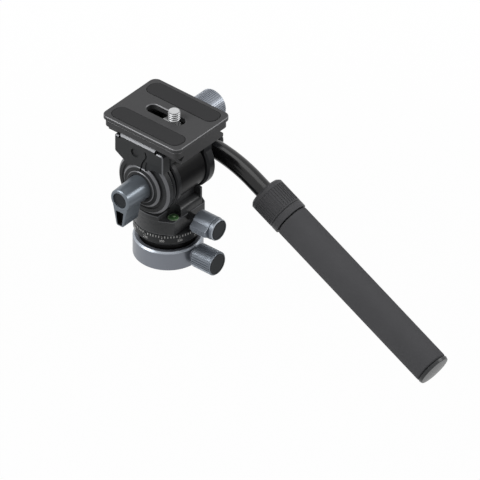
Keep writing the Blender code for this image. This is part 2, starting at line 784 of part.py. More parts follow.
def build_ball(shop):
    """The seat rolls about X in the ring and the ball pitches about Y in the seat."""
    centre = (0, 0, BALL_CENTRE_HEIGHT)
    shop.joint("level_roll", centre, "levelling_base")
    inner = BALL_RADIUS + GAP
    outer = inner + SEAT_THICKNESS
    low_inner = -math.degrees(math.asin(SEAT_DROP / inner))
    low_outer = -math.degrees(math.asin(SEAT_DROP / outer))
    top_inner = -math.degrees(math.asin(SEAT_TOP_DROP / inner))
    top_outer = -math.degrees(math.asin(SEAT_TOP_DROP / outer))
    profile = arc((0, 0), outer, top_outer, low_outer, ARC_STEPS)
    profile += arc((0, 0), inner, low_inner, top_inner, ARC_STEPS)
    seat = turned("ball_seat", profile, centre, closed=True)
    shop.finish(seat, "white_plastic", "level_roll")

    shop.joint("level_pitch", centre, "level_roll")
    crown = math.degrees(math.asin(BALL_CROWN_RISE / BALL_RADIUS))
    foot = -math.degrees(math.asin(BALL_FOOT_DROP / BALL_RADIUS))
    crown_height = SCALE_FOOT_HEIGHT - GAP - BALL_CENTRE_HEIGHT
    hub_height = SCALE_TOP - GAP - BALL_CENTRE_HEIGHT
    shaft_pit = PAN_SHAFT_RADIUS + GAP
    pit_floor = HOUSING_FOOT - PAN_SHAFT_DEPTH - GAP - BALL_CENTRE_HEIGHT
    profile = [
        (0, pit_floor),
        (shaft_pit, pit_floor),
        (shaft_pit, hub_height),
        (HUB_RADIUS, hub_height),
        (HUB_RADIUS, crown_height),
    ]
    profile += arc((0, 0), BALL_RADIUS, crown, foot, 2 * ARC_STEPS)
    profile += [(0, -BALL_FOOT_DROP)]
    ball = turned("level_ball", profile, centre, steps=LARGE_STEPS)
    shop.finish(ball, "black_metal", "level_pitch")

    scale = turned("scale_ring", [
        (HUB_RADIUS + GAP, SCALE_TOP),
        (SCALE_RADIUS - SCALE_EDGE, SCALE_TOP),
        (SCALE_RADIUS, SCALE_TOP - SCALE_EDGE),
        (SCALE_RADIUS, SCALE_FOOT_HEIGHT + SCALE_TAPER),
        (SCALE_FOOT_RADIUS, SCALE_FOOT_HEIGHT),
        (HUB_RADIUS + GAP, SCALE_FOOT_HEIGHT),
    ], (0, 0, 0), steps=LARGE_STEPS, closed=True)
    shop.finish(scale, "black_metal", "level_pitch")

    shaft_top = HOUSING_FOOT + SHAFT_CAVITY_DEPTH - PAN_SHAFT_END
    shaft = rod(
        "pan_shaft", PAN_SHAFT_RADIUS, HOUSING_FOOT - PAN_SHAFT_DEPTH, shaft_top, (0, 0, 0),
        chamfer=SCALE_EDGE)
    shop.finish(shaft, "steel", "level_pitch")
    washer_foot = HOUSING_FOOT
    washer = ring(
        "thrust_washer", WASHER_RADIUS, PAN_SHAFT_RADIUS + GAP, washer_foot,
        washer_foot + WASHER_THICKNESS, (0, 0, 0))
    shop.finish(washer, "white_plastic", "level_pitch")
    damper_foot = washer_foot + WASHER_THICKNESS + GAP
    damper = ring(
        "pan_damper", DAMPER_RADIUS, PAN_SHAFT_RADIUS + GAP, damper_foot,
        damper_foot + DAMPER_THICKNESS, (0, 0, 0))
    shop.finish(damper, "dark_plastic", "level_pitch")
    nut_foot = damper_foot + DAMPER_THICKNESS + GAP
    nut = rod("pan_nut", NUT_RADIUS, nut_foot, nut_foot + NUT_THICKNESS, (0, 0, 0), steps=6)
    nut_bore = rod(
        "nut_bore", PAN_SHAFT_RADIUS + GAP, nut_foot - OVERRUN, nut_foot + NUT_THICKNESS + OVERRUN, (0, 0, 0))
    shop.cut(nut, nut_bore)
    shop.finish(nut, "steel", "level_pitch")


# Pan housing

def housing_outline():
    """A round back and a flat front whose two corners meet the round side in straight lines."""
    reach = math.hypot(HOUSING_FRONT, HOUSING_CORNER)
    corner_angle = math.atan2(HOUSING_CORNER, HOUSING_FRONT)
    tangent = math.degrees(corner_angle + math.acos(HOUSING_RADIUS / reach))
    outline = rounded([
        (HOUSING_RADIUS * math.cos(math.radians(tangent)), -HOUSING_RADIUS * math.sin(math.radians(tangent)), 0),
        (HOUSING_FRONT, -HOUSING_CORNER, HOUSING_CORNER_FILLET),
        (HOUSING_FRONT, HOUSING_CORNER, HOUSING_CORNER_FILLET),
        (HOUSING_RADIUS * math.cos(math.radians(tangent)), HOUSING_RADIUS * math.sin(math.radians(tangent)), 0),
    ])
    return outline[1:-1] + arc((0, 0), HOUSING_RADIUS, tangent, 360 - tangent, LARGE_STEPS // 2)


def build_housing(shop):
    """The body on the pan axis and, off that axis, the neck that carries the tilt barrel."""
    shop.joint("pan", (0, 0, HOUSING_FOOT), "level_pitch")
    height = DECK_HEIGHT - HOUSING_FOOT
    body = extruded("pan_housing", housing_outline(), height, (0, 0, HOUSING_FOOT + height / 2))
    step = box(
        "front_step", (STEP_BACK, -HOUSING_RADIUS, STEP_HEIGHT),
        (HOUSING_RADIUS, HOUSING_RADIUS, DECK_HEIGHT + OVERRUN))
    shop.cut(body, step)
    neck = side_plate("neck", rounded([
        (-NECK_FRONT, STEP_HEIGHT - SINK, 0),
        (NECK_FRONT, STEP_HEIGHT - SINK, 0),
        (NECK_FRONT, SHOULDER_HEIGHT, SHOULDER_FILLET),
        (PEDESTAL_HALF_WIDTH, SHOULDER_HEIGHT, 0),
        (PEDESTAL_HALF_WIDTH, SHOULDER_HEIGHT + PEDESTAL_RISE, 0),
        (-PEDESTAL_HALF_WIDTH, SHOULDER_HEIGHT + PEDESTAL_RISE, 0),
        (-PEDESTAL_HALF_WIDTH, SHOULDER_HEIGHT, 0),
        (-NECK_FRONT, SHOULDER_HEIGHT, SHOULDER_FILLET),
    ]), NECK_NEAR + HEAD_SHIFT, HEAD_SHIFT - NECK_FAR)
    cheek = side_plate("far_cheek", [
        (-NECK_FRONT, STEP_HEIGHT - SINK),
        (NECK_FRONT, STEP_HEIGHT - SINK),
        (NECK_FRONT, CHEEK_HEIGHT),
        (PEDESTAL_HALF_WIDTH, CHEEK_HEIGHT + SINK),
        (-PEDESTAL_HALF_WIDTH, CHEEK_HEIGHT + SINK),
        (-NECK_FRONT, CHEEK_HEIGHT),
    ], HEAD_SHIFT - NECK_FAR + CHEEK_THICKNESS, HEAD_SHIFT - NECK_FAR - SINK / 2)
    shop.add(neck, cheek)
    shop.add(body, neck)
    saddle = rod(
        "saddle", BARREL_RADIUS + GAP, -COVER_NEAR, BARREL_FAR + OVERRUN, (0, 0, TILT_HEIGHT),
        ALONG_Y, LARGE_STEPS)
    shop.cut(body, saddle)
    cavity = turned("bearing_cavity", [
        (0, SHAFT_CAVITY_DEPTH),
        (PAN_SHAFT_RADIUS + GAP, SHAFT_CAVITY_DEPTH),
        (PAN_SHAFT_RADIUS + GAP, BEARING_CAVITY_DEPTH),
        (BEARING_CAVITY_RADIUS, BEARING_CAVITY_DEPTH),
        (BEARING_CAVITY_RADIUS, -OVERRUN),
        (0, -OVERRUN),
    ], (0, 0, HOUSING_FOOT))
    shop.cut(body, cavity)
    notch = rod(
        "vial_notch", VIAL_NOTCH_RADIUS, STEP_HEIGHT + SINK, SHOULDER_HEIGHT + OVERRUN,
        (VIAL_X, -VIAL_Y, 0))
    shop.cut(body, notch)
    well = rod(
        "vial_well", VIAL_RADIUS + GAP, STEP_HEIGHT - VIAL_DEPTH, STEP_HEIGHT + 2 * SINK,
        (VIAL_X, -VIAL_Y, 0))
    shop.cut(body, well)
    bore = rod(
        "pan_screw_bore", PAN_SCREW_RADIUS + GAP, 0, HOUSING_FRONT + OVERRUN, (0, 0, PAN_KNOB_HEIGHT),
        ALONG_X)
    shop.cut(body, bore)
    shop.finish(body, "black_metal", "pan")

    vial_foot = STEP_HEIGHT - VIAL_DEPTH + GAP
    vial_top = STEP_HEIGHT + VIAL_PROUD
    vial = turned("bubble_vial", [
        (0, vial_top),
        (VIAL_RADIUS / 2, vial_top - VIAL_DOME / 4),
        (VIAL_RADIUS, vial_top - VIAL_DOME),
        (VIAL_RADIUS, vial_foot),
        (0, vial_foot),
    ], (VIAL_X, -VIAL_Y, 0))
    shop.finish(vial, "green_vial", "pan")

    shoe_start = PAN_SHAFT_RADIUS + GAP
    shoe = rod(
        "pan_shoe", PAN_SCREW_RADIUS, shoe_start, shoe_start + PAN_SHOE_LENGTH, (0, 0, PAN_KNOB_HEIGHT),
        ALONG_X)
    shop.finish(shoe, "bronze", "pan")


def build_pan_knob(shop):
    """A smooth barrel with a stepped head and a wing that points to -Y."""
    place = (PAN_KNOB_START, 0, PAN_KNOB_HEIGHT)
    shop.joint("pan_lock", place, "pan")
    cap_radius = PAN_HEAD_RADIUS - CAP_INSET
    bore_radius = PAN_SCREW_RADIUS + GAP
    face = PAN_KNOB_LENGTH - CAP_THICKNESS
    knob = turned("pan_lock_knob", [
        (0, face - GAP),
        (cap_radius + GAP, face - GAP),
        (cap_radius + GAP, PAN_KNOB_LENGTH),
        (PAN_HEAD_RADIUS - KNOB_CHAMFER, PAN_KNOB_LENGTH),
        (PAN_HEAD_RADIUS, PAN_KNOB_LENGTH - KNOB_CHAMFER),
        (PAN_HEAD_RADIUS, PAN_WING_LENGTH),
        (PAN_KNOB_RADIUS, PAN_WING_LENGTH),
        (PAN_KNOB_RADIUS, GAP),
        (PAN_KNOB_RADIUS - GAP, 0),
        (bore_radius, 0),
        (bore_radius, SCREW_GRIP + GAP),
        (0, SCREW_GRIP + GAP),
    ], place, ALONG_X)
    root_half = PAN_KNOB_RADIUS * WING_SEAT_SHARE
    root = PAN_KNOB_RADIUS * WING_ROOT_SHARE
    tip_half = PAN_WING_TIP / 2
    wing = front_section("pan_knob_wing", [
        (-PAN_WING_REACH, PAN_KNOB_HEIGHT - tip_half),
        (-PAN_WING_REACH, PAN_KNOB_HEIGHT + tip_half),
        (-root, PAN_KNOB_HEIGHT + root_half),
        (-bore_radius - GAP, PAN_KNOB_HEIGHT + root_half),
        (-bore_radius - GAP, PAN_KNOB_HEIGHT - root_half),
        (-root, PAN_KNOB_HEIGHT - root_half),
    ], PAN_KNOB_START + GAP, PAN_KNOB_START + PAN_WING_LENGTH)
    corner = side_plate("wing_corner", [
        (PAN_KNOB_START - OVERRUN, PAN_KNOB_HEIGHT - tip_half + PAN_WING_CORNER_RISE),
        (PAN_KNOB_START, PAN_KNOB_HEIGHT - tip_half + PAN_WING_CORNER_RISE),
        (PAN_KNOB_START + PAN_WING_CORNER, PAN_KNOB_HEIGHT - tip_half),
        (PAN_KNOB_START + 2 * PAN_WING_CORNER, PAN_KNOB_HEIGHT - tip_half - PAN_WING_CORNER_RISE),
        (PAN_KNOB_START + 2 * PAN_WING_CORNER, PAN_KNOB_HEIGHT - PAN_KNOB_RADIUS),
        (PAN_KNOB_START - OVERRUN, PAN_KNOB_HEIGHT - PAN_KNOB_RADIUS),
    ], PAN_WING_REACH + OVERRUN, root)
    shop.cut(wing, corner)
    shop.add(knob, wing)
    for count in (-1, 0, 1):
        height = PAN_KNOB_HEIGHT + count * WING_GROOVE_PITCH
        groove = box(
            f"wing_groove_{count + 2}",
            (PAN_KNOB_START, -PAN_WING_REACH - OVERRUN, height - WING_GROOVE_WIDTH / 2),
            (PAN_KNOB_START + PAN_WING_LENGTH + OVERRUN, -PAN_WING_REACH + WING_GROOVE_DEPTH,
             height + WING_GROOVE_WIDTH / 2))
        shop.cut(knob, groove)
    shop.finish(knob, "grey_anodised", "pan_lock")
    cap = rod(
        "pan_knob_cap", cap_radius, PAN_KNOB_LENGTH - CAP_THICKNESS, PAN_KNOB_LENGTH + CAP_PROUD, place,
        ALONG_X, MEDIUM_STEPS)
    shop.finish(cap, "dark_plastic", "pan_lock")
    screw_start = PAN_SHAFT_RADIUS + GAP + PAN_SHOE_LENGTH + GAP
    screw = rod(
        "pan_lock_screw", PAN_SCREW_RADIUS, screw_start, PAN_KNOB_START + SCREW_GRIP,
        (0, 0, PAN_KNOB_HEIGHT), ALONG_X)
    shop.finish(screw, "black_metal", "pan_lock")


# Tilt barrel, axle and lever

def build_barrel(shop):
    """The barrel that stays with the housing, with its two stepped rings and the axle."""
    centre = (0, 0, TILT_HEIGHT)
    shop.joint("tilt_unit", centre, "pan")
    bore = AXLE_RADIUS + AXLE_BORE_GAP
    barrel_cavity = BARREL_RADIUS - BARREL_WALL
    inner_end = -BARREL_NEAR + BARREL_END_WALL
    barrel = turned("tilt_barrel", [
        (barrel_cavity, BARREL_FAR),
        (BARREL_RADIUS - BARREL_EDGE, BARREL_FAR),
        (BARREL_RADIUS, BARREL_FAR - BARREL_EDGE),
        (BARREL_RADIUS, -BARREL_NEAR),
        (bore, -BARREL_NEAR),
        (bore, inner_end),
        (barrel_cavity, inner_end),
    ], centre, ALONG_Y, LARGE_STEPS, closed=True)
    shop.finish(barrel, "gloss_black", "tilt_unit")
    cover = ring(
        "barrel_cover", COVER_RADIUS, bore, -COVER_NEAR, -COVER_NEAR + COVER_WIDTH, centre, ALONG_Y,
        LARGE_STEPS, RING_EDGE)
    shop.finish(cover, "black_metal", "tilt_unit")
    drag = ring(
        "drag_ring", RING_RADIUS, bore, -RING_NEAR, -RING_NEAR + RING_WIDTH, centre, ALONG_Y,
        LARGE_STEPS, RING_EDGE)
    shop.finish(drag, "black_metal", "tilt_unit")
    axle_near = DISC_FACE + GAP + LEVER_BORE_DEPTH
    axle = rod("tilt_axle", AXLE_RADIUS, -axle_near, AXLE_FAR, centre, ALONG_Y, chamfer=BARREL_EDGE)
    shop.finish(axle, "steel", "tilt_unit")


def build_tilt_lever(shop):
    """A tapered tube on the axle's end with a paddle that hangs from it."""
    root = DISC_FACE + GAP
    place = (0, -root, TILT_HEIGHT)
    shop.joint("tilt_lock", place, "tilt_unit")
    length = LEVER_REACH - root
    cap_seat = length - LEVER_CAP_RECESS - CAP_THICKNESS
    lever = turned("tilt_lever", [
        (0, length),
        (LEVER_TIP_RADIUS - LEVER_CHAMFER, length),
        (LEVER_TIP_RADIUS, length - LEVER_CHAMFER),
        (LEVER_ROOT_RADIUS, LEVER_CHAMFER),
        (LEVER_ROOT_RADIUS - LEVER_CHAMFER, 0),
        (AXLE_RADIUS + AXLE_BORE_GAP, 0),
        (AXLE_RADIUS + AXLE_BORE_GAP, LEVER_BORE_DEPTH + GAP),
        (0, LEVER_BORE_DEPTH + GAP),
    ], place, ALONG_MINUS_Y)
    paddle = side_plate("tilt_lever_paddle", rounded([
        (-LEVER_TIP_RADIUS * WING_ROOT_SHARE, TILT_HEIGHT - LEVER_TIP_RADIUS * WING_SEAT_SHARE, 0),
        (-PADDLE_TIP / 2, TILT_HEIGHT - PADDLE_DROP, PADDLE_TIP * WING_FILLET_SHARE),
        (PADDLE_TIP / 2, TILT_HEIGHT - PADDLE_DROP, PADDLE_TIP * WING_FILLET_SHARE),
        (LEVER_TIP_RADIUS * WING_ROOT_SHARE, TILT_HEIGHT - LEVER_TIP_RADIUS * WING_SEAT_SHARE, 0),
    ]), LEVER_REACH - LEVER_CHAMFER, LEVER_REACH - PADDLE_LENGTH)
    shop.add(lever, paddle)
    cap_recess = rod(
        "lever_cap_recess", LEVER_CAP_RADIUS + GAP, cap_seat - GAP, length + OVERRUN, place, ALONG_MINUS_Y)
    shop.cut(lever, cap_recess)
    recess = box(
        "paddle_pocket",
        (-PADDLE_POCKET_WIDTH / 2, -LEVER_REACH, TILT_HEIGHT - PADDLE_DROP + PADDLE_RIM),
        (PADDLE_POCKET_WIDTH / 2, -LEVER_REACH + PADDLE_POCKET_DEPTH, TILT_HEIGHT - PADDLE_POCKET_TOP))
    shop.cut(lever, recess)
    for side in (-1, 1):
        for count in (1, 2, 3):
            height = TILT_HEIGHT - PADDLE_DROP + PADDLE_RIM + count * WING_GROOVE_PITCH
            edge = side * (PADDLE_TIP / 2 + WING_GROOVE_RISE_SHARE * (height - TILT_HEIGHT + PADDLE_DROP))
            groove = box(
                f"paddle_groove_{count}_{side}",
                (edge - WING_GROOVE_DEPTH, -LEVER_REACH + PADDLE_RIM, height - WING_GROOVE_WIDTH / 2),
                (edge + WING_GROOVE_DEPTH, -LEVER_REACH + PADDLE_LENGTH + OVERRUN,
                 height + WING_GROOVE_WIDTH / 2))
            shop.cut(lever, groove)
    shop.finish(lever, "grey_anodised", "tilt_lock")
    cap = rod("lever_cap", LEVER_CAP_RADIUS, cap_seat, cap_seat + CAP_THICKNESS, place, ALONG_MINUS_Y)
    shop.finish(cap, "dark_plastic", "tilt_lock")


# Side plates, damping drum and platform

def flank_height(half_width):
    """Height of the clamp's sloping flank, which stands off the plate's dovetail by the gap."""
    return LOWER_SLAB_FOOT + DOVETAIL_TOP_HALF + GAP * math.sqrt(2) - half_width


def build_near_plate(shop):
    """The near disc flows up into a shield that ends in the clamp's fixed jaw."""
    shop.joint("tilt", (0, 0, TILT_HEIGHT), "tilt_unit")
    centre = (0, 0, TILT_HEIGHT)
    plate = ring(
        "near_side_plate", DISC_RADIUS, AXLE_RADIUS + BUSH_WALL + 2 * GAP, -DISC_FACE, -DISC_BACK, centre,
        ALONG_Y, LARGE_STEPS, DISC_BEVEL)
    shield = side_plate("shield", rounded([
        (-SHIELD_LEFT, SHIELD_SHOULDER, SHIELD_FILLET / 2),
        (-SHIELD_LEFT, SHIELD_LEFT_FOOT, SHIELD_FILLET),
        (-BLOCK_TIP_X, BLOCK_TIP_HEIGHT, SHIELD_FILLET),
        (-STEM_LEFT_X, STEM_HEIGHT, SHIELD_FILLET),
        (STEM_RIGHT_X, STEM_HEIGHT, SHIELD_FILLET),
        (BLOCK_TIP_X, SHIELD_RIGHT_FOOT, SHIELD_FILLET),
        (SHIELD_RIGHT, SHIELD_RIGHT_FOOT, SHIELD_FILLET / 2),
        (SHIELD_RIGHT, SHIELD_SHOULDER, SHIELD_FILLET),
        (LUG_RIGHT, SHIELD_SHOULDER, 0),
        (LUG_RIGHT, JAW_TOP, 0),
        (-LUG_LEFT, JAW_TOP, 0),
        (-LUG_LEFT, SHIELD_SHOULDER, 0),
    ]), SHIELD_FACE, DISC_BACK)
    bevel_cut = front_section("lug_bevel", [
        (-SHIELD_FACE - OVERRUN, JAW_TOP - LUG_BEVEL - OVERRUN),
        (-SHIELD_FACE + LUG_BEVEL + OVERRUN, JAW_TOP + OVERRUN),
        (-SHIELD_FACE - OVERRUN, JAW_TOP + OVERRUN),
    ], -SHIELD_LEFT - OVERRUN, SHIELD_RIGHT + OVERRUN)
    shop.cut(shield, bevel_cut)
    shop.add(plate, shield)
    wide = DOVETAIL_HALF + GAP
    narrow = wide - (JAW_TOP + OVERRUN - flank_height(wide))
    channel = front_section("near_channel", [
        (-narrow, JAW_TOP + OVERRUN),
        (-wide, flank_height(wide)),
        (-wide, CLAMP_FLOOR),
        (0, CLAMP_FLOOR),
        (0, JAW_TOP + OVERRUN),
    ], -SHIELD_LEFT - OVERRUN, SHIELD_RIGHT + OVERRUN)
    shop.cut(plate, channel)
    groove_top = SHIELD_SHOULDER - SHIELD_FILLET * 2
    groove = side_plate("shield_groove", [
        (GROOVE_X - GROOVE_WIDTH / 2, groove_top),
        (GROOVE_X - GROOVE_WIDTH / 2, GROOVE_KNEE_HEIGHT),
        (GROOVE_FOOT_X - GROOVE_WIDTH / 2, STEM_HEIGHT - OVERRUN),
        (GROOVE_FOOT_X + GROOVE_WIDTH / 2, STEM_HEIGHT - OVERRUN),
        (GROOVE_X + GROOVE_WIDTH / 2, GROOVE_KNEE_HEIGHT),
        (GROOVE_X + GROOVE_WIDTH / 2, groove_top),
    ], SHIELD_FACE + OVERRUN, SHIELD_FACE - RECESS_DEPTH)
    shop.cut(plate, groove)
    recess = rod(
        "round_recess", RECESS_RADIUS, -SHIELD_FACE - OVERRUN, -SHIELD_FACE + RECESS_DEPTH,
        (RECESS_X, 0, RECESS_HEIGHT), ALONG_Y)
    shop.cut(plate, recess)
    shop.finish(plate, "black_metal", "tilt")
    bush = ring(
        "near_bush", AXLE_RADIUS + GAP + BUSH_WALL, AXLE_RADIUS + GAP, -DISC_FACE, -DISC_BACK, centre,
        ALONG_Y)
    shop.finish(bush, "bronze", "tilt")


def build_far_plate(shop):
    centre = (0, 0, TILT_HEIGHT)
    plate = ring(
        "far_side_plate", DISC_RADIUS, HANDLE_BOLT_RADIUS + GAP, FAR_PLATE_NEAR, FAR_PLATE_FACE, centre,
        ALONG_Y, LARGE_STEPS, FAR_PLATE_BEVEL)
    arm = box(
        "far_arm", (-FAR_ARM_HALF_WIDTH, FAR_PLATE_NEAR, TILT_HEIGHT + EYE_RADIUS),
        (FAR_ARM_HALF_WIDTH, FAR_PLATE_FACE, PLATFORM_FOOT - GAP))
    shop.add(plate, arm)
    shop.finish(plate, "black_metal", "tilt")

    rotor_radius = BARREL_RADIUS - BARREL_WALL - GAP
    near = -BARREL_NEAR + BARREL_END_WALL + GAP
    bush_outer = AXLE_RADIUS + GAP + BUSH_WALL
    drum_end = BARREL_FAR - ROTOR_WALL
    rotor = turned("damper_rotor", [
        (ROTOR_HUB_RADIUS - ROTOR_WALL, FAR_PLATE_NEAR - GAP),
        (ROTOR_HUB_RADIUS, FAR_PLATE_NEAR - GAP),
        (ROTOR_HUB_RADIUS, drum_end),
        (rotor_radius, drum_end),
        (rotor_radius, near),
        (bush_outer + GAP, near),
        (bush_outer + GAP, drum_end - ROTOR_WALL),
        (ROTOR_HUB_RADIUS - ROTOR_WALL, drum_end - ROTOR_WALL),
    ], centre, ALONG_Y, MEDIUM_STEPS, closed=True)
    shop.finish(rotor, "dark_plastic", "tilt")
    bush = ring(
        "rotor_bush", bush_outer, AXLE_RADIUS + GAP, near, drum_end - ROTOR_WALL, centre, ALONG_Y)
    shop.finish(bush, "bronze", "tilt")


def build_platform(shop):
    """The bridge between the side plates, hollowed below for the barrel."""
    platform = box(
        "platform", (-SHIELD_LEFT, -DISC_BACK + GAP, PLATFORM_FOOT), (SHIELD_RIGHT, PLATFORM_FAR, CLAMP_FLOOR),
        PLATFORM_EDGE)
    arch = rod(
        "platform_arch", DISC_RADIUS + GAP, -DISC_FACE, PLATFORM_FAR + OVERRUN, (0, 0, TILT_HEIGHT), ALONG_Y,
        LARGE_STEPS)
    shop.cut(platform, arch)
    screw_bore = rod(
        "clamp_screw_bore", CLAMP_SCREW_RADIUS + GAP, -CLAMP_BORE_NEAR, PLATFORM_FAR + OVERRUN,
        (CLAMP_X, 0, CLAMP_AXIS_HEIGHT), ALONG_Y)
    shop.cut(platform, screw_bore)
    for name, side in (("front", 1), ("rear", -1)):
        place = (CLAMP_X + side * GUIDE_PIN_SPACING / 2, 0, CLAMP_AXIS_HEIGHT)
        pin_bore = rod(
            f"guide_bore_{name}", GUIDE_PIN_RADIUS + GAP, PLATFORM_FAR - GUIDE_PIN_DEPTH - GAP,
            PLATFORM_FAR + OVERRUN, place, ALONG_Y, steps=SMALL_STEPS // 2)
        shop.cut(platform, pin_bore)
        pin = rod(
            f"guide_pin_{name}", GUIDE_PIN_RADIUS, PLATFORM_FAR - GUIDE_PIN_DEPTH,
            PLATFORM_FAR + JAW_TRAVEL_GAP + JAW_THICKNESS, place, ALONG_Y, steps=SMALL_STEPS // 2)
        shop.finish(pin, "steel", "tilt")
    shop.finish(platform, "black_metal", "tilt")


# Quick-release clamp

def build_clamp(shop):
    jaw_near = PLATFORM_FAR + JAW_TRAVEL_GAP
    jaw_far = jaw_near + JAW_THICKNESS
    left, right = CLAMP_X - JAW_HALF_LENGTH, CLAMP_X + JAW_HALF_LENGTH
    shop.joint("jaw", (CLAMP_X, jaw_near, CLAMP_AXIS_HEIGHT), "tilt")
    lip = jaw_near - (JAW_TOP - flank_height(jaw_near))
    jaw = bevelled(front_section("clamp_jaw", [
        (jaw_near, JAW_FOOT),
        (jaw_far, JAW_FOOT),
        (jaw_far, JAW_TOP - LUG_BEVEL),
        (jaw_far - LUG_BEVEL, JAW_TOP),
        (lip, JAW_TOP),
        (jaw_near, flank_height(jaw_near)),
    ], left, right), GAP)
    screw_bore = rod(
        "jaw_screw_bore", CLAMP_SCREW_RADIUS + GAP, jaw_near - OVERRUN, jaw_far + OVERRUN,
        (CLAMP_X, 0, CLAMP_AXIS_HEIGHT), ALONG_Y)
    shop.cut(jaw, screw_bore)
    for name, side in (("front", 1), ("rear", -1)):
        bore = rod(
            f"jaw_guide_bore_{name}", GUIDE_PIN_RADIUS + GAP, jaw_near - OVERRUN, jaw_far + OVERRUN,
            (CLAMP_X + side * GUIDE_PIN_SPACING / 2, 0, CLAMP_AXIS_HEIGHT), ALONG_Y, SMALL_STEPS // 2)
        shop.cut(jaw, bore)
    shop.finish(jaw, "black_metal", "jaw")

    place = (CLAMP_X, jaw_far + GAP, CLAMP_AXIS_HEIGHT)
    shop.joint("clamp_lock", place, "jaw")
    screw_bore_radius = CLAMP_SCREW_RADIUS + GAP
    collar = ring("clamp_collar", COLLAR_RADIUS, screw_bore_radius, 0, COLLAR_LENGTH, place, ALONG_Y,
                  MEDIUM_STEPS, GAP)
    shop.finish(collar, "grey_anodised", "clamp_lock")
    knob_start = jaw_far + GAP + COLLAR_LENGTH + GAP
    knob_place = (CLAMP_X, knob_start, CLAMP_AXIS_HEIGHT)
    cap_radius = CLAMP_KNOB_RADIUS - CAP_INSET
    outline = ribbed_outline(CLAMP_KNOB_RADIUS, KNOB_RIB_DEPTH, CLAMP_KNOB_RIBS)
    knob = extruded(
        "clamp_knob", outline, CLAMP_KNOB_LENGTH + SINK,
        (CLAMP_X, knob_start + CLAMP_KNOB_LENGTH / 2, CLAMP_AXIS_HEIGHT), ALONG_Y)
    blank = turned(
        "clamp_knob_blank",
        knob_profile(
            CLAMP_KNOB_RADIUS + SINK, CLAMP_KNOB_LENGTH, KNOB_CHAMFER + SINK, cap_radius,
            screw_bore_radius, SCREW_GRIP + GAP),
        knob_place, ALONG_Y)
    shop.keep(knob, blank)
    shop.finish(knob, "grey_anodised", "clamp_lock")
    cap = rod(
        "clamp_knob_cap", cap_radius, CLAMP_KNOB_LENGTH - CAP_THICKNESS, CLAMP_KNOB_LENGTH + CAP_PROUD,
        knob_place, ALONG_Y, MEDIUM_STEPS)
    shop.finish(cap, "dark_plastic", "clamp_lock")
    screw = rod(
        "clamp_screw", CLAMP_SCREW_RADIUS, -CLAMP_SCREW_NEAR, knob_start + SCREW_GRIP,
        (CLAMP_X, 0, CLAMP_AXIS_HEIGHT), ALONG_Y)
    shop.finish(screw, "steel", "clamp_lock")


# Quick-release plate

def build_plate(shop):
    shop.joint("plate", (0, 0, CLAMP_FLOOR), "tilt")
    slab = extruded(
        "plate_body", rectangle(PLATE_LENGTH, PLATE_WIDTH, PLATE_CORNER), PLATE_SLAB,
        (0, 0, PLATE_TOP - PLATE_SLAB / 2))
    bevelled(slab, PLATE_BEVEL)
    groove_top = PLATE_TOP - PLATE_SLAB
    waist = extruded(
        "plate_waist",
        rectangle(PLATE_LENGTH - 2 * PLATE_GROOVE_DEPTH, PLATE_WIDTH - 2 * PLATE_GROOVE_DEPTH,
                  PLATE_CORNER - PLATE_GROOVE_DEPTH),
        PLATE_GROOVE_HEIGHT + 2 * SINK, (0, 0, groove_top - PLATE_GROOVE_HEIGHT / 2))
    shop.add(slab, waist)
    lower = extruded(
        "plate_lower_slab",
        rectangle(PLATE_LENGTH - 2 * PLATE_LOWER_INSET, PLATE_WIDTH - 2 * PLATE_LOWER_INSET,
                  PLATE_CORNER - PLATE_LOWER_INSET),
        PLATE_LOWER_SLAB, (0, 0, LOWER_SLAB_TOP - PLATE_LOWER_SLAB / 2))
    shop.add(slab, lower)
    flank_foot = LOWER_SLAB_FOOT - (DOVETAIL_HALF - DOVETAIL_TOP_HALF)
    dovetail = front_section("plate_dovetail", [
        (-DOVETAIL_TOP_HALF, LOWER_SLAB_FOOT + SINK),
        (-DOVETAIL_TOP_HALF, LOWER_SLAB_FOOT),
        (-DOVETAIL_HALF, flank_foot),
        (-DOVETAIL_HALF, DOVETAIL_FOOT),
        (DOVETAIL_HALF, DOVETAIL_FOOT),
        (DOVETAIL_HALF, flank_foot),
        (DOVETAIL_TOP_HALF, LOWER_SLAB_FOOT),
        (DOVETAIL_TOP_HALF, LOWER_SLAB_FOOT + SINK),
    ], -PLATE_LENGTH / 2 + DOVETAIL_EDGE, PLATE_LENGTH / 2 - DOVETAIL_EDGE)
    shop.add(slab, dovetail)
    pocket_roof = PLATE_TOP - SLOT_ROOF
    pocket = extruded(
        "screw_pocket", rectangle(POCKET_LENGTH, POCKET_WIDTH, POCKET_WIDTH * POCKET_FILLET_SHARE),
        pocket_roof - DOVETAIL_FOOT + OVERRUN, (0, 0, (pocket_roof + DOVETAIL_FOOT - OVERRUN) / 2))
    shop.cut(slab, pocket)
    slot = extruded(
        "screw_slot", rectangle(SLOT_LENGTH, SLOT_WIDTH, SLOT_WIDTH * SLOT_FILLET_SHARE),
        2 * SLOT_ROOF, (0, 0, PLATE_TOP - SLOT_ROOF / 2))
    shop.cut(slab, slot)
    for name, side in (("near", -1), ("far", 1)):
        seat = extruded(
            f"pad_seat_{name}",
            rectangle(PAD_LENGTH + 2 * PAD_MARGIN, PAD_WIDTH + 2 * PAD_MARGIN, PAD_CORNER + PAD_MARGIN),
            2 * (PAD_THICKNESS - PAD_PROUD + GAP), (0, side * PAD_OFFSET, PLATE_TOP))
        shop.cut(slab, seat)
        pad = extruded(
            f"pad_{name}", rectangle(PAD_LENGTH, PAD_WIDTH, PAD_CORNER), PAD_THICKNESS,
            (0, side * PAD_OFFSET, PLATE_TOP + PAD_PROUD - PAD_THICKNESS / 2))
        shop.finish(pad, "rubber", "plate")
    shop.finish(slab, "black_metal", "plate")


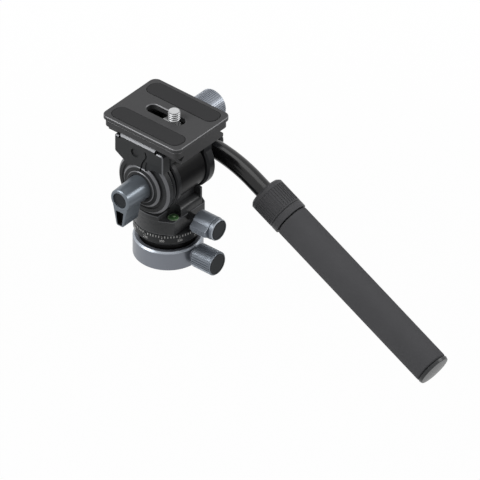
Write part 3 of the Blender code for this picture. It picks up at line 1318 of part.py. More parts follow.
def build_camera_screw(shop):
    """The washer slides along the slot's roof and the screw spins in it."""
    roof = PLATE_TOP - SLOT_ROOF
    place = (CAMERA_SCREW_X, 0, roof)
    shop.joint("slot", place, "plate")
    washer_top = -GAP
    washer = ring(
        "screw_washer", WASHER_SEAT_RADIUS, CAMERA_SCREW_RADIUS + GAP, washer_top - WASHER_SEAT_THICKNESS,
        washer_top, place, steps=MEDIUM_STEPS)
    shop.finish(washer, "steel", "slot")
    shop.joint("screw_turn", place, "slot")
    flange_top = washer_top - WASHER_SEAT_THICKNESS - GAP
    tip = SLOT_ROOF + CAMERA_SCREW_PROUD
    screw = turned("camera_screw", [
        (0, tip),
        (CAMERA_SCREW_RADIUS - CAMERA_SCREW_POINT, tip),
        (CAMERA_SCREW_RADIUS, tip - CAMERA_SCREW_POINT),
        (CAMERA_SCREW_RADIUS, SLOT_ROOF),
        (CAMERA_SCREW_NECK, SLOT_ROOF - CAMERA_SCREW_POINT),
        (CAMERA_SCREW_NECK, flange_top),
        (FLANGE_RADIUS, flange_top),
        (FLANGE_RADIUS, flange_top - FLANGE_THICKNESS),
        (0, flange_top - FLANGE_THICKNESS),
    ], place, steps=MEDIUM_STEPS)
    driver_slot = box(
        "driver_slot",
        (CAMERA_SCREW_X - FLANGE_RADIUS, -CAMERA_SCREW_POINT, roof + flange_top - FLANGE_THICKNESS - OVERRUN),
        (CAMERA_SCREW_X + FLANGE_RADIUS, CAMERA_SCREW_POINT, roof + flange_top - FLANGE_THICKNESS / 2))
    shop.cut(screw, driver_slot)
    shop.finish(screw, "steel", "screw_turn")


# Handle

def build_handle(shop):
    centre = (0, 0, TILT_HEIGHT)
    split = FAR_PLATE_FACE + ROSETTE_SPLIT
    fixed = ring(
        "rosette_fixed", ROSETTE_RADIUS, HANDLE_BOLT_RADIUS + GAP, FAR_PLATE_FACE + GAP, split, centre,
        ALONG_Y, MEDIUM_STEPS, GAP)
    shop.finish(fixed, "black_metal", "tilt")

    shop.joint("handle_angle", (0, HANDLE_Y, TILT_HEIGHT), "tilt")
    eye_near = HANDLE_Y - EYE_HALF
    moving = ring(
        "rosette_handle", ROSETTE_RADIUS, HANDLE_BOLT_RADIUS + GAP, split + GAP, eye_near - GAP, centre,
        ALONG_Y, MEDIUM_STEPS, GAP)
    shop.finish(moving, "black_metal", "handle_angle")

    path = [(0, HANDLE_Y, TILT_HEIGHT), (TUBE_START, HANDLE_Y, TILT_HEIGHT)]
    for i in range(1, TUBE_BEND_STEPS + 1):
        angle = TUBE_DROP_ANGLE * i / TUBE_BEND_STEPS
        path.append((
            TUBE_START + TUBE_BEND_RADIUS * math.sin(angle), HANDLE_Y,
            TILT_HEIGHT - TUBE_BEND_RADIUS * (1 - math.cos(angle))))
    path.append(tuple(handle_point(TUBE_STRAIGHT)))
    handle = tube("handle_tube", path, TUBE_RADIUS, TUBE_BEVEL_STEPS)
    eye = rod(
        "handle_eye", EYE_RADIUS, HANDLE_Y - EYE_HALF, HANDLE_Y + EYE_HALF, centre, ALONG_Y, MEDIUM_STEPS,
        TUBE_RADIUS * EYE_CHAMFER_SHARE)
    shop.add(handle, eye)
    bolt_bore = rod(
        "handle_bolt_bore", HANDLE_BOLT_RADIUS + GAP, HANDLE_Y - EYE_HALF - OVERRUN,
        HANDLE_Y + EYE_HALF + OVERRUN, centre, ALONG_Y)
    shop.cut(handle, bolt_bore)
    shop.finish(handle, "gloss_black", "handle_angle")
    stop_start = TUBE_STRAIGHT + GAP
    stop = rod(
        "tube_stop", GRIP_TUBE_INNER - GAP, stop_start, stop_start + STOP_LENGTH, handle_point(0),
        ALONG_HANDLE, chamfer=STOP_LIP)
    shop.finish(stop, "white_plastic", "handle_angle")

    knob_near = HANDLE_Y + EYE_HALF + GAP
    shop.joint("handle_lock", (0, knob_near, TILT_HEIGHT), "handle_angle")
    knob_far = knob_near + HANDLE_KNOB_THICKNESS
    bolt_bore_radius = HANDLE_BOLT_RADIUS + GAP
    knob = turned("handle_clamp_knob", [
        (0, knob_far),
        (HANDLE_KNOB_RADIUS / 2, knob_far - HANDLE_KNOB_DOME / 4),
        (HANDLE_KNOB_RADIUS - HANDLE_KNOB_DOME / 2, knob_far - HANDLE_KNOB_DOME),
        (HANDLE_KNOB_RADIUS, knob_far - 2 * HANDLE_KNOB_DOME),
        (HANDLE_KNOB_RADIUS, knob_near + GAP),
        (HANDLE_KNOB_RADIUS - GAP, knob_near),
        (bolt_bore_radius, knob_near),
        (bolt_bore_radius, knob_near + HANDLE_KNOB_DOME),
        (0, knob_near + HANDLE_KNOB_DOME),
    ], centre, ALONG_Y)
    shop.finish(knob, "black_metal", "handle_lock")
    bolt = rod(
        "handle_bolt", HANDLE_BOLT_RADIUS, FAR_PLATE_FACE - HANDLE_BOLT_DEPTH,
        knob_near + HANDLE_KNOB_DOME - GAP, centre, ALONG_Y)
    shop.finish(bolt, "steel", "handle_lock")


def build_grip(shop):
    """The grip slides along the straight tube, and the ribbed collar turns on it."""
    origin = handle_point(0)
    shop.joint("grip", handle_point(COLLAR_START), "handle_angle")
    liner_start = COLLAR_START + TWIST_COLLAR_LIP + GAP + COLLET_LENGTH + GAP
    liner_end = FOAM_END - GRIP_TUBE_SETBACK
    liner = ring("grip_tube", GRIP_TUBE_OUTER, GRIP_TUBE_INNER, liner_start, liner_end, origin, ALONG_HANDLE)
    shop.finish(liner, "grey_anodised", "grip")
    foam = ring(
        "foam_grip", FOAM_RADIUS, GRIP_TUBE_OUTER + GAP, FOAM_START, FOAM_END, origin, ALONG_HANDLE,
        MEDIUM_STEPS, FOAM_EDGE)
    shop.finish(foam, "foam", "grip")
    cap_start = FOAM_END + GAP
    cap_end = cap_start + END_CAP_THICKNESS
    plug_start = liner_end - END_PLUG_LENGTH
    cap = turned("end_cap", [
        (0, cap_end),
        (END_CAP_RADIUS / 2, cap_end - END_CAP_DOME / 4),
        (END_CAP_RADIUS - END_CAP_DOME, cap_end - END_CAP_DOME),
        (END_CAP_RADIUS, cap_end - 2 * END_CAP_DOME),
        (END_CAP_RADIUS, cap_start),
        (GRIP_TUBE_INNER - GAP, cap_start),
        (GRIP_TUBE_INNER - GAP, plug_start),
        (0, plug_start),
    ], origin, ALONG_HANDLE)
    shop.finish(cap, "gloss_black", "grip")

    collet_start = COLLAR_START + TWIST_COLLAR_LIP + GAP
    collet = ring(
        "collet", GRIP_TUBE_OUTER, TUBE_RADIUS + GAP, collet_start, collet_start + COLLET_LENGTH, origin,
        ALONG_HANDLE)
    for i in range(COLLET_SLOTS):
        slot = box(
            f"collet_slot_{i}", (0, -COLLET_SLOT / 2, -OVERRUN),
            (GRIP_TUBE_OUTER + OVERRUN, COLLET_SLOT / 2, COLLET_LENGTH - COLLET_RING))
        slot.rotation_euler = (0, 0, 2 * math.pi * i / COLLET_SLOTS)
        bpy.context.view_layer.update()
        turn = slot.matrix_world.to_quaternion().to_matrix().to_4x4()
        offset = turn @ slot.location
        slot.location = offset
        shop.place_along_handle(slot, collet_start)
        shop.cut(collet, slot)
    shop.finish(collet, "white_plastic", "grip")

    shop.joint("collar_twist", handle_point(COLLAR_START), "grip")
    middle = handle_point(COLLAR_START + TWIST_COLLAR_LENGTH / 2)
    outline = ribbed_outline(TWIST_COLLAR_RADIUS, TWIST_RIB_DEPTH, TWIST_COLLAR_RIBS)
    collar = extruded("twist_collar", outline, TWIST_COLLAR_LENGTH + SINK, middle, ALONG_HANDLE)
    blank = turned("twist_collar_blank", [
        (TWIST_COLLAR_BORE, TWIST_COLLAR_LENGTH),
        (TWIST_COLLAR_RADIUS, TWIST_COLLAR_LENGTH),
        (TWIST_COLLAR_RADIUS, TWIST_COLLAR_CHAMFER),
        (TWIST_COLLAR_RADIUS - TWIST_COLLAR_CHAMFER, 0),
        (TUBE_RADIUS + GAP, 0),
        (TUBE_RADIUS + GAP, TWIST_COLLAR_LIP),
        (TWIST_COLLAR_BORE, TWIST_COLLAR_LIP),
    ], handle_point(COLLAR_START), ALONG_HANDLE, closed=True)
    shop.keep(collar, blank)
    shop.finish(collar, "dark_plastic", "collar_twist")


def main():
    clear_scene()
    shop = Workshop()
    build_base(shop)
    build_level_knob(shop)
    build_ball(shop)
    build_housing(shop)
    build_pan_knob(shop)
    build_barrel(shop)
    build_tilt_lever(shop)
    build_near_plate(shop)
    build_far_plate(shop)
    build_platform(shop)
    build_clamp(shop)
    build_plate(shop)
    build_camera_screw(shop)
    build_handle(shop)
    build_grip(shop)
    shop.joints["tilt_unit"].location.y -= HEAD_SHIFT
    bpy.context.view_layer.update()


main()
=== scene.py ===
"""Dresses the fluid video head: fine surfaces, finishes, studio light and camera.

Lengths are millimetres until a piece is finished, then metres as in the frame. The frame's +X points
to the operator, -Y to the side with the tilt lever and +Z up.
"""

import json
import logging
import math
from dataclasses import dataclass, replace
from enum import Enum
from typing import Any, ClassVar, Optional, Sequence

import bmesh
import bpy
from mathutils import Matrix, Vector


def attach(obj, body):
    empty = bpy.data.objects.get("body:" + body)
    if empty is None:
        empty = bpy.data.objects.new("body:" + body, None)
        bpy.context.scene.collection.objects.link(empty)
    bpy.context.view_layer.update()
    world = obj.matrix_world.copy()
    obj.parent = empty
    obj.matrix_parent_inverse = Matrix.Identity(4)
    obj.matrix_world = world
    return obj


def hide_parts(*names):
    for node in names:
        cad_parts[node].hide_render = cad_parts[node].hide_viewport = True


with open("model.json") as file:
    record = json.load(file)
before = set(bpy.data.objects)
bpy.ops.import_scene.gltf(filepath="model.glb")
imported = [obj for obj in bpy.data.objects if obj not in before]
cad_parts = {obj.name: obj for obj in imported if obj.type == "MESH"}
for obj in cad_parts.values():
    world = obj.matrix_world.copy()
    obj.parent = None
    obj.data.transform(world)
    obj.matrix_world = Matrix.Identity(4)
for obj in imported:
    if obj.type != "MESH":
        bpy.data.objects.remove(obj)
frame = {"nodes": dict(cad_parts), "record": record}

log = logging.getLogger("video_head")

Point2 = tuple[float, float]
Point3 = tuple[float, float, float]

MM = 0.001
TURN_STEPS = 128
SMALL_TURN_STEPS = 64
SHARP_ANGLE = math.radians(33)
GAP = 0.3
EDGE_LEAST = 0.05
SLOW_SIZE = 9
TILT_HEIGHT = 53.0
CLAMP_SCREW_HOLE = 2.2
GUIDE_PIN_HOLE = 1.4
# Height plus reach of the clamp's two sloping flanks: the dovetail's upper edge and the gap to it
FLANK_SUM = 80.9 + 14.4 + GAP * math.sqrt(2)


# Colours and nodes


def linear(colour: str) -> tuple[float, float, float, float]:
    """Turn an sRGB hex colour to linear RGBA.

    Args:
        colour: Six hex digits.

    Returns:
        Linear red, green and blue with alpha 1.
    """
    channels = []
    for place in (0, 2, 4):
        value = int(colour[place:place + 2], 16) / 255
        channels.append(value / 12.92 if value <= 0.04045 else ((value + 0.055) / 1.055) ** 2.4)
    return channels[0], channels[1], channels[2], 1.0


def empty_tree(owner: bpy.types.ID) -> bpy.types.NodeTree:
    """Give a material or world an empty node tree.

    Args:
        owner: The material or world.

    Returns:
        Its tree.
    """
    owner.use_nodes = True
    owner.node_tree.nodes.clear()
    return owner.node_tree


def add_node(
    tree: bpy.types.NodeTree, kind: str, settings: Optional[dict[Any, Any]] = None,
    links: Optional[dict[Any, bpy.types.NodeSocket]] = None,
) -> bpy.types.Node:
    """Add a node with its settings and links.

    Args:
        tree: The tree that gets the node.
        kind: The node's type.
        settings: Values by property name, or by input name or number.
        links: Output sockets by the input name or number that they feed.

    Returns:
        The new node.
    """
    node = tree.nodes.new(kind)
    for name, value in (settings or {}).items():
        if isinstance(name, str) and hasattr(node, name):
            setattr(node, name, value)
        else:
            node.inputs[name].default_value = value
    for name, socket in (links or {}).items():
        tree.links.new(socket, node.inputs[name])
    return node


# Finishes


@dataclass(frozen=True)
class Finish:
    """A surface as it is made: its colour, its gloss, and a fine grain in both.

    The grain's size is in millimetres; its strengths are shares of the colour and of the roughness.
    """

    name: str
    slot: str
    colour: str
    roughness: float
    metallic: float = 0.0
    specular: float = 0.5
    grain: float = 0.5
    mottle: float = 0.06
    rough_spread: float = 0.06
    bump: float = 0.05
    bump_depth: float = 0.02
    coat: float = 0.0

    def material(self) -> bpy.types.Material:
        """Give the finish's material, made once.

        Returns:
            The material.
        """
        made = bpy.data.materials.get(self.name)
        return made if made else self._build()

    def _build(self) -> bpy.types.Material:
        """Build the node tree of the finish.

        Returns:
            The new material.
        """
        material = bpy.data.materials.new(self.name)
        tree = empty_tree(material)
        place = add_node(tree, "ShaderNodeTexCoord").outputs["Object"]
        height, spread = self.pattern(tree, place)
        low = tuple(c * (1 - self.mottle) for c in linear(self.colour)[:3]) + (1.0,)
        high = tuple(min(1.0, c * (1 + self.mottle)) for c in linear(self.colour)[:3]) + (1.0,)
        tint = add_node(
            tree, "ShaderNodeMix", {"data_type": "RGBA", 6: low, 7: high}, {0: spread})
        rough = add_node(
            tree, "ShaderNodeMapRange",
            {"To Min": max(0.02, self.roughness - self.rough_spread),
                "To Max": self.roughness + self.rough_spread},
            {"Value": spread})
        bump = add_node(
            tree, "ShaderNodeBump", {"Strength": self.bump, "Distance": self.bump_depth * MM},
            {"Height": height})
        shader = add_node(
            tree, "ShaderNodeBsdfPrincipled",
            {"Metallic": self.metallic, "Specular IOR Level": self.specular, "Coat Weight": self.coat},
            {"Base Color": tint.outputs[2], "Roughness": rough.outputs[0], "Normal": bump.outputs[0]})
        add_node(tree, "ShaderNodeOutputMaterial", None, {"Surface": shader.outputs[0]})
        return material

    def spread(
        self, tree: bpy.types.NodeTree, place: bpy.types.NodeSocket, fine: bpy.types.NodeSocket,
        share: float, detail: float = 2.0,
    ) -> bpy.types.NodeSocket:
        """Mix the grain with a slow change over the surface.

        Args:
            tree: The material's tree.
            place: Object coordinates.
            fine: The grain's height.
            share: The slow change's share.
            detail: Its octaves.

        Returns:
            The socket of the spread of colour and gloss.
        """
        slow = add_node(
            tree, "ShaderNodeTexNoise",
            {"Scale": 1 / (self.grain * SLOW_SIZE * MM), "Detail": detail}, {"Vector": place})
        mixed = add_node(
            tree, "ShaderNodeMix", {"data_type": "FLOAT", 0: share}, {2: fine, 3: slow.outputs[0]})
        return mixed.outputs[0]

    def pattern(
        self, tree: bpy.types.NodeTree, place: bpy.types.NodeSocket,
    ) -> tuple[bpy.types.NodeSocket, bpy.types.NodeSocket]:
        """Make the grain's height and the slow spread of colour and gloss.

        Args:
            tree: The material's tree.
            place: Object coordinates.

        Returns:
            The sockets of the height and of the spread.
        """
        fine = add_node(
            tree, "ShaderNodeTexNoise", {"Scale": 1 / (self.grain * MM), "Detail": 3.0, "Roughness": 0.6},
            {"Vector": place})
        return fine.outputs[0], self.spread(tree, place, fine.outputs[0], 0.45)


@dataclass(frozen=True)
class TurnedFinish(Finish):
    """A lathe-turned surface: fine rings along the turning axis catch the light as a sheen."""

    axis: int = 2
    pitch: float = 0.25

    def pattern(
        self, tree: bpy.types.NodeTree, place: bpy.types.NodeSocket,
    ) -> tuple[bpy.types.NodeSocket, bpy.types.NodeSocket]:
        """Make the rings that the tool leaves, and a slow spread.

        Args:
            tree: The material's tree.
            place: Object coordinates.

        Returns:
            The sockets of the height and of the spread.
        """
        split = add_node(tree, "ShaderNodeSeparateXYZ", None, {0: place})
        rings = add_node(
            tree, "ShaderNodeTexNoise",
            {"noise_dimensions": "1D", "Scale": 1 / (self.pitch * MM), "Detail": 2.0},
            {"W": split.outputs[self.axis]})
        return rings.outputs[0], self.spread(tree, place, rings.outputs[0], 0.5)


@dataclass(frozen=True)
class FoamFinish(Finish):
    """Closed-cell foam: small dimples with a soft, dull skin."""

    cell: float = 0.35

    def pattern(
        self, tree: bpy.types.NodeTree, place: bpy.types.NodeSocket,
    ) -> tuple[bpy.types.NodeSocket, bpy.types.NodeSocket]:
        """Make the cells and the spread between them.

        Args:
            tree: The material's tree.
            place: Object coordinates.

        Returns:
            The sockets of the height and of the spread.
        """
        cells = add_node(
            tree, "ShaderNodeTexVoronoi", {"Scale": 1 / (self.cell * MM)}, {"Vector": place})
        return cells.outputs["Distance"], self.spread(tree, place, cells.outputs["Distance"], 0.6, 4.0)


# Black anodised aluminium, bead-blasted: an even, faintly grainy black with soft highlights
BLACK_BLASTED = Finish("Black blasted anodised aluminium", "black_metal", "313233", 0.42, specular=0.12,
                       grain=0.22, mottle=0.10, bump=0.2)
# The black metal, glossier and painted a little lighter for the housing and the end cap: the lighter colour
# paints more light on them
BLACK_LIGHTENED = Finish("Black metal lightened as painted light", "black_metal", "3f4041", 0.28, specular=0.18,
                    grain=0.22, mottle=0.10, bump=0.15)
# The same metal turned smoother on the rings and discs, so that they shine a little more
BLACK_SATIN = Finish("Black satin anodised aluminium", "black_metal", "27282a", 0.34, specular=0.12,
                     grain=0.3, mottle=0.08, bump=0.1)
# Chamfers of the black parts, painted paler than the faces: a thin grey line of painted highlight
BLACK_EDGE_HIGHLIGHT = Finish("Black chamfer with painted highlight", "black_metal", "68696c", 0.34, metallic=0.3, specular=0.3,
                    grain=0.5, mottle=0.16, bump=0.08)
# The plate's upper face, a little greyer from its coarser blasting
BLACK_PLATE = Finish("Black blasted plate aluminium", "black_metal", "3f3f40", 0.46, specular=0.14,
                     grain=0.26, mottle=0.10, bump=0.25)
# The plate's chamfers, painted paler than its faces: a painted highlight along its edges
PLATE_EDGE_HIGHLIGHT = Finish("Plate chamfer with painted highlight", "black_metal", "636365", 0.4, metallic=0.3, specular=0.3,
                    grain=0.5, mottle=0.12, bump=0.08)
# Black anodised over a fine turned surface: long clear highlights along the barrel
BLACK_GLOSS = Finish("Gloss black anodised aluminium", "gloss_black", "121213", 0.36, specular=0.08,
                     grain=0.8, mottle=0.05, bump=0.03)
# Black lacquered steel tube: long clear streaks
BLACK_TUBE = Finish("Gloss black lacquered steel tube", "gloss_black", "161617", 0.2, specular=0.4,
                    grain=1.5, mottle=0.04, bump=0.02)
# Grey anodised aluminium, turned: a cool metal sheen with fine rings
GREY_TURNED = TurnedFinish("Grey anodised turned aluminium", "grey_anodised", "7b7f87", 0.34, metallic=0.5,
                           specular=0.4, grain=2.0, mottle=0.03, rough_spread=0.03, bump=0.05, axis=2)
GREY_ALONG_X = replace(
    GREY_TURNED, name="Grey anodised turned knob", colour="757b83", roughness=0.38, axis=0)
GREY_ALONG_Y = replace(
    GREY_TURNED, name="Grey anodised turned lever", colour="6b7279", roughness=0.32, metallic=0.55, axis=1)
GREY_CLAMP = replace(
    GREY_TURNED, name="Pale grey anodised clamp knob", colour="8b9098", roughness=0.36, axis=1)
# Chamfers of the grey parts, painted brighter than the faces: a painted highlight on them
GREY_EDGE_HIGHLIGHT = Finish("Grey chamfer with painted highlight", "grey_anodised", "a2a8b0", 0.34, metallic=0.45, grain=1.2,
                   mottle=0.05, bump=0.03)
# Glass-filled nylon, moulded: a dull black-grey skin
NYLON = Finish(
    "Moulded nylon", "dark_plastic", "222528", 0.5, specular=0.15, grain=0.3, mottle=0.08, bump=0.12)
COLLAR_NYLON = Finish("Moulded nylon collar", "dark_plastic", "3e3e40", 0.5, specular=0.25, grain=0.3,
                      mottle=0.08, bump=0.12)
ACETAL = Finish("Natural acetal", "white_plastic", "dcdad2", 0.4, grain=0.6, mottle=0.03)
# Turned stainless steel: bright, with fine rings
STEEL = TurnedFinish("Turned stainless steel", "steel", "b4b5b6", 0.25, metallic=1.0, grain=1.0, mottle=0.04,
                     bump=0.05, axis=2)
SCREW_STEEL = Finish("Bright zinc-plated screw", "steel", "c2c3c4", 0.42, metallic=0.6, grain=1.0,
                     mottle=0.04,
                     rough_spread=0.03, bump=0.02)
# A darker steel in the thread's grooves: painted shade in the root
THREAD_ROOT_SHADE = Finish(
    "Thread root with painted shade", "steel", "7c7d7e", 0.5, metallic=0.4, grain=1.0, mottle=0.05, bump=0.02)
BRONZE = TurnedFinish("Turned bronze", "bronze", "a98b57", 0.35, metallic=1.0, grain=1.0, bump=0.08, axis=1)
# Moulded rubber: flat and dark with a very fine grain
RUBBER = Finish("Moulded rubber", "rubber", "2d2d2e", 0.72, specular=0.15, grain=0.25, mottle=0.08, bump=0.3)
FOAM = FoamFinish("Closed-cell foam", "foam", "4d4d4f", 0.92, specular=0.12, grain=1.0, mottle=0.12,
                  bump=0.25,
                  bump_depth=0.05)
# Silk-screened ink on the scale
INK = Finish("White scale ink", "black_metal", "c4c4c2", 0.6, grain=0.4, mottle=0.05, bump=0.05)
# Green spirit under a clear moulded lens
VIAL = Finish(
    "Green spirit", "green_vial", "4d7848", 0.12, specular=0.5, grain=2.0, mottle=0.2, bump=0.02, coat=0.3)
VIAL_RIM = Finish("Clear moulded rim", "green_vial", "7f9a78", 0.15, specular=0.5, grain=2.0, mottle=0.08,
                  bump=0.02)
BUBBLE = Finish("Bubble rim", "green_vial", "9dbb8f", 0.1, specular=0.5, grain=2.0, mottle=0.05, bump=0.02)
# Near-black used two ways: painted shade in the lever's pocket, and the level's real black target ring
POCKET_SHADE_AND_TARGET_BLACK = Finish(
    "Pocket with painted shade and black target ring", "black_metal", "0c0c0d", 0.8, specular=0.1, grain=1.0, mottle=0.05, bump=0.05)

NODE_FINISHES: dict[str, Finish] = {
    "black_metal": BLACK_BLASTED,
    "gloss_black": BLACK_GLOSS,
    "grey_anodised": GREY_TURNED,
    "dark_plastic": NYLON,
    "white_plastic": ACETAL,
    "steel": STEEL,
    "bronze": BRONZE,
    "rubber": RUBBER,
    "foam": FOAM,
    "green_vial": VIAL,
}


# Shapes


DROP_ANGLE = math.radians(27.8)


class Along(Enum):
    """Where a shape's own Z axis points; the flat outlines of SIDE lie in X and Z, of FRONT in Y and Z."""

    Z = Matrix.Identity(4)
    X = Matrix.Rotation(math.pi / 2, 4, "Y")
    Y = Matrix.Rotation(-math.pi / 2, 4, "X")
    SIDE = Matrix.Rotation(math.pi / 2, 4, "X")
    FRONT = Matrix(((0, 0, 1, 0), (1, 0, 0, 0), (0, 1, 0, 0), (0, 0, 0, 1)))
    HANDLE = Matrix.Rotation(math.pi / 2 + DROP_ANGLE, 4, "Y")


class Stand(Enum):
    """Where a sub-assembly's own origin is in the frame, in millimetres."""

    BASE = (0.0, 0.0, 0.0)
    HEAD = (0.0, -1.7, 0.0)


def arc(centre: Point2, radius: float, start: float, end: float, steps: int) -> list[Point2]:
    """Give the points of an arc.

    Args:
        centre: The arc's centre.
        radius: Its radius.
        start: Angle of the first point, in degrees.
        end: Angle of the last point, in degrees.
        steps: Number of segments.

    Returns:
        The points in order.
    """
    points = []
    for i in range(steps + 1):
        angle = math.radians(start + (end - start) * i / steps)
        points.append((centre[0] + radius * math.cos(angle), centre[1] + radius * math.sin(angle)))
    return points


def rounded(corners: Sequence[Point3], steps: int = 6, closed: bool = True) -> list[Point2]:
    """Round the corners of an outline.

    Args:
        corners: Each corner's two coordinates and its radius.
        steps: Segments in each rounding.
        closed: False for a profile whose two ends stay as they are.

    Returns:
        The outline with an arc in place of each corner that has a radius.
    """
    outline: list[Point2] = []
    count = len(corners)
    for i, (x, y, radius) in enumerate(corners):
        if not radius or (not closed and i in (0, count - 1)):
            outline.append((x, y))
            continue
        here = Vector((x, y))
        back = (Vector(corners[i - 1][:2]) - here).normalized()
        ahead = (Vector(corners[(i + 1) % count][:2]) - here).normalized()
        half = back.angle(ahead) / 2
        centre = here + (back + ahead).normalized() * (radius / math.sin(half))
        first = here + back * (radius / math.tan(half)) - centre
        last = here + ahead * (radius / math.tan(half)) - centre
        start = math.atan2(first.y, first.x)
        sweep = math.remainder(math.atan2(last.y, last.x) - start, 2 * math.pi)
        outline += arc((centre.x, centre.y), radius, math.degrees(start), math.degrees(start + sweep), steps)
    return outline


def rectangle(width: float, height: float, radius: float, steps: int = 8) -> list[Point2]:
    """Give a rounded rectangle round the origin.

    Args:
        width: Size along the first coordinate.
        height: Size along the second.
        radius: Corner radius.
        steps: Segments in each corner.

    Returns:
        The outline.
    """
    w, h = width / 2, height / 2
    return rounded([(-w, -h, radius), (w, -h, radius), (w, h, radius), (-w, h, radius)], steps)


def stroke(line: Sequence[Point2], width: float) -> list[Point2]:
    """Give the outline of a line drawn with a width.

    Args:
        line: The line's points.
        width: The stroke's width.

    Returns:
        The outline round the line.
    """
    left, right = [], []
    for i, point in enumerate(line):
        ahead = Vector(line[min(i + 1, len(line) - 1)]) - Vector(line[max(i - 1, 0)])
        side = Vector((-ahead.y, ahead.x)).normalized() * (width / 2)
        left.append((point[0] + side.x, point[1] + side.y))
        right.append((point[0] - side.x, point[1] - side.y))
    return right + left[::-1]


def smooth_line(points: Sequence[Point2], steps: int = 6) -> list[Point2]:
    """Pass a smooth curve through points.

    Args:
        points: The points that it passes through.
        steps: Segments between two of them.

    Returns:
        The curve's points.
    """
    ends = [points[0], *points, points[-1]]
    line = []
    for i in range(1, len(ends) - 2):
        a, b, c, d = (Vector(p) for p in ends[i - 1:i + 3])
        for k in range(steps):
            t = k / steps
            line.append(tuple(
                (2 * b + (c - a) * t + (2 * a - 5 * b + 4 * c - d) * t * t
                 + (3 * b - a - 3 * c + d) * t ** 3) / 2))
    return line + [points[-1]]


def inset(outline: Sequence[Point2], distance: float) -> list[Point2]:
    """Move an outline inwards by a distance.

    Args:
        outline: The outline's points, anticlockwise.
        distance: How far each side moves.

    Returns:
        The smaller outline, with the same number of points.
    """
    points = []
    count = len(outline)
    for i, point in enumerate(outline):
        back = (Vector(point) - Vector(outline[i - 1])).normalized()
        ahead = (Vector(outline[(i + 1) % count]) - Vector(point)).normalized()
        first, second = Vector((-back.y, back.x)), Vector((-ahead.y, ahead.x))
        move = (first + second) * (distance / max(0.3, 1 + first.dot(second)))
        points.append((point[0] + move.x, point[1] + move.y))
    return points


def anticlockwise(outline: Sequence[Point2]) -> list[Point2]:
    """Give the outline's points in anticlockwise order."""
    area = sum(a[0] * b[1] - b[0] * a[1] for a, b in zip(outline, [*outline[1:], outline[0]]))
    return list(outline) if area > 0 else list(outline)[::-1]


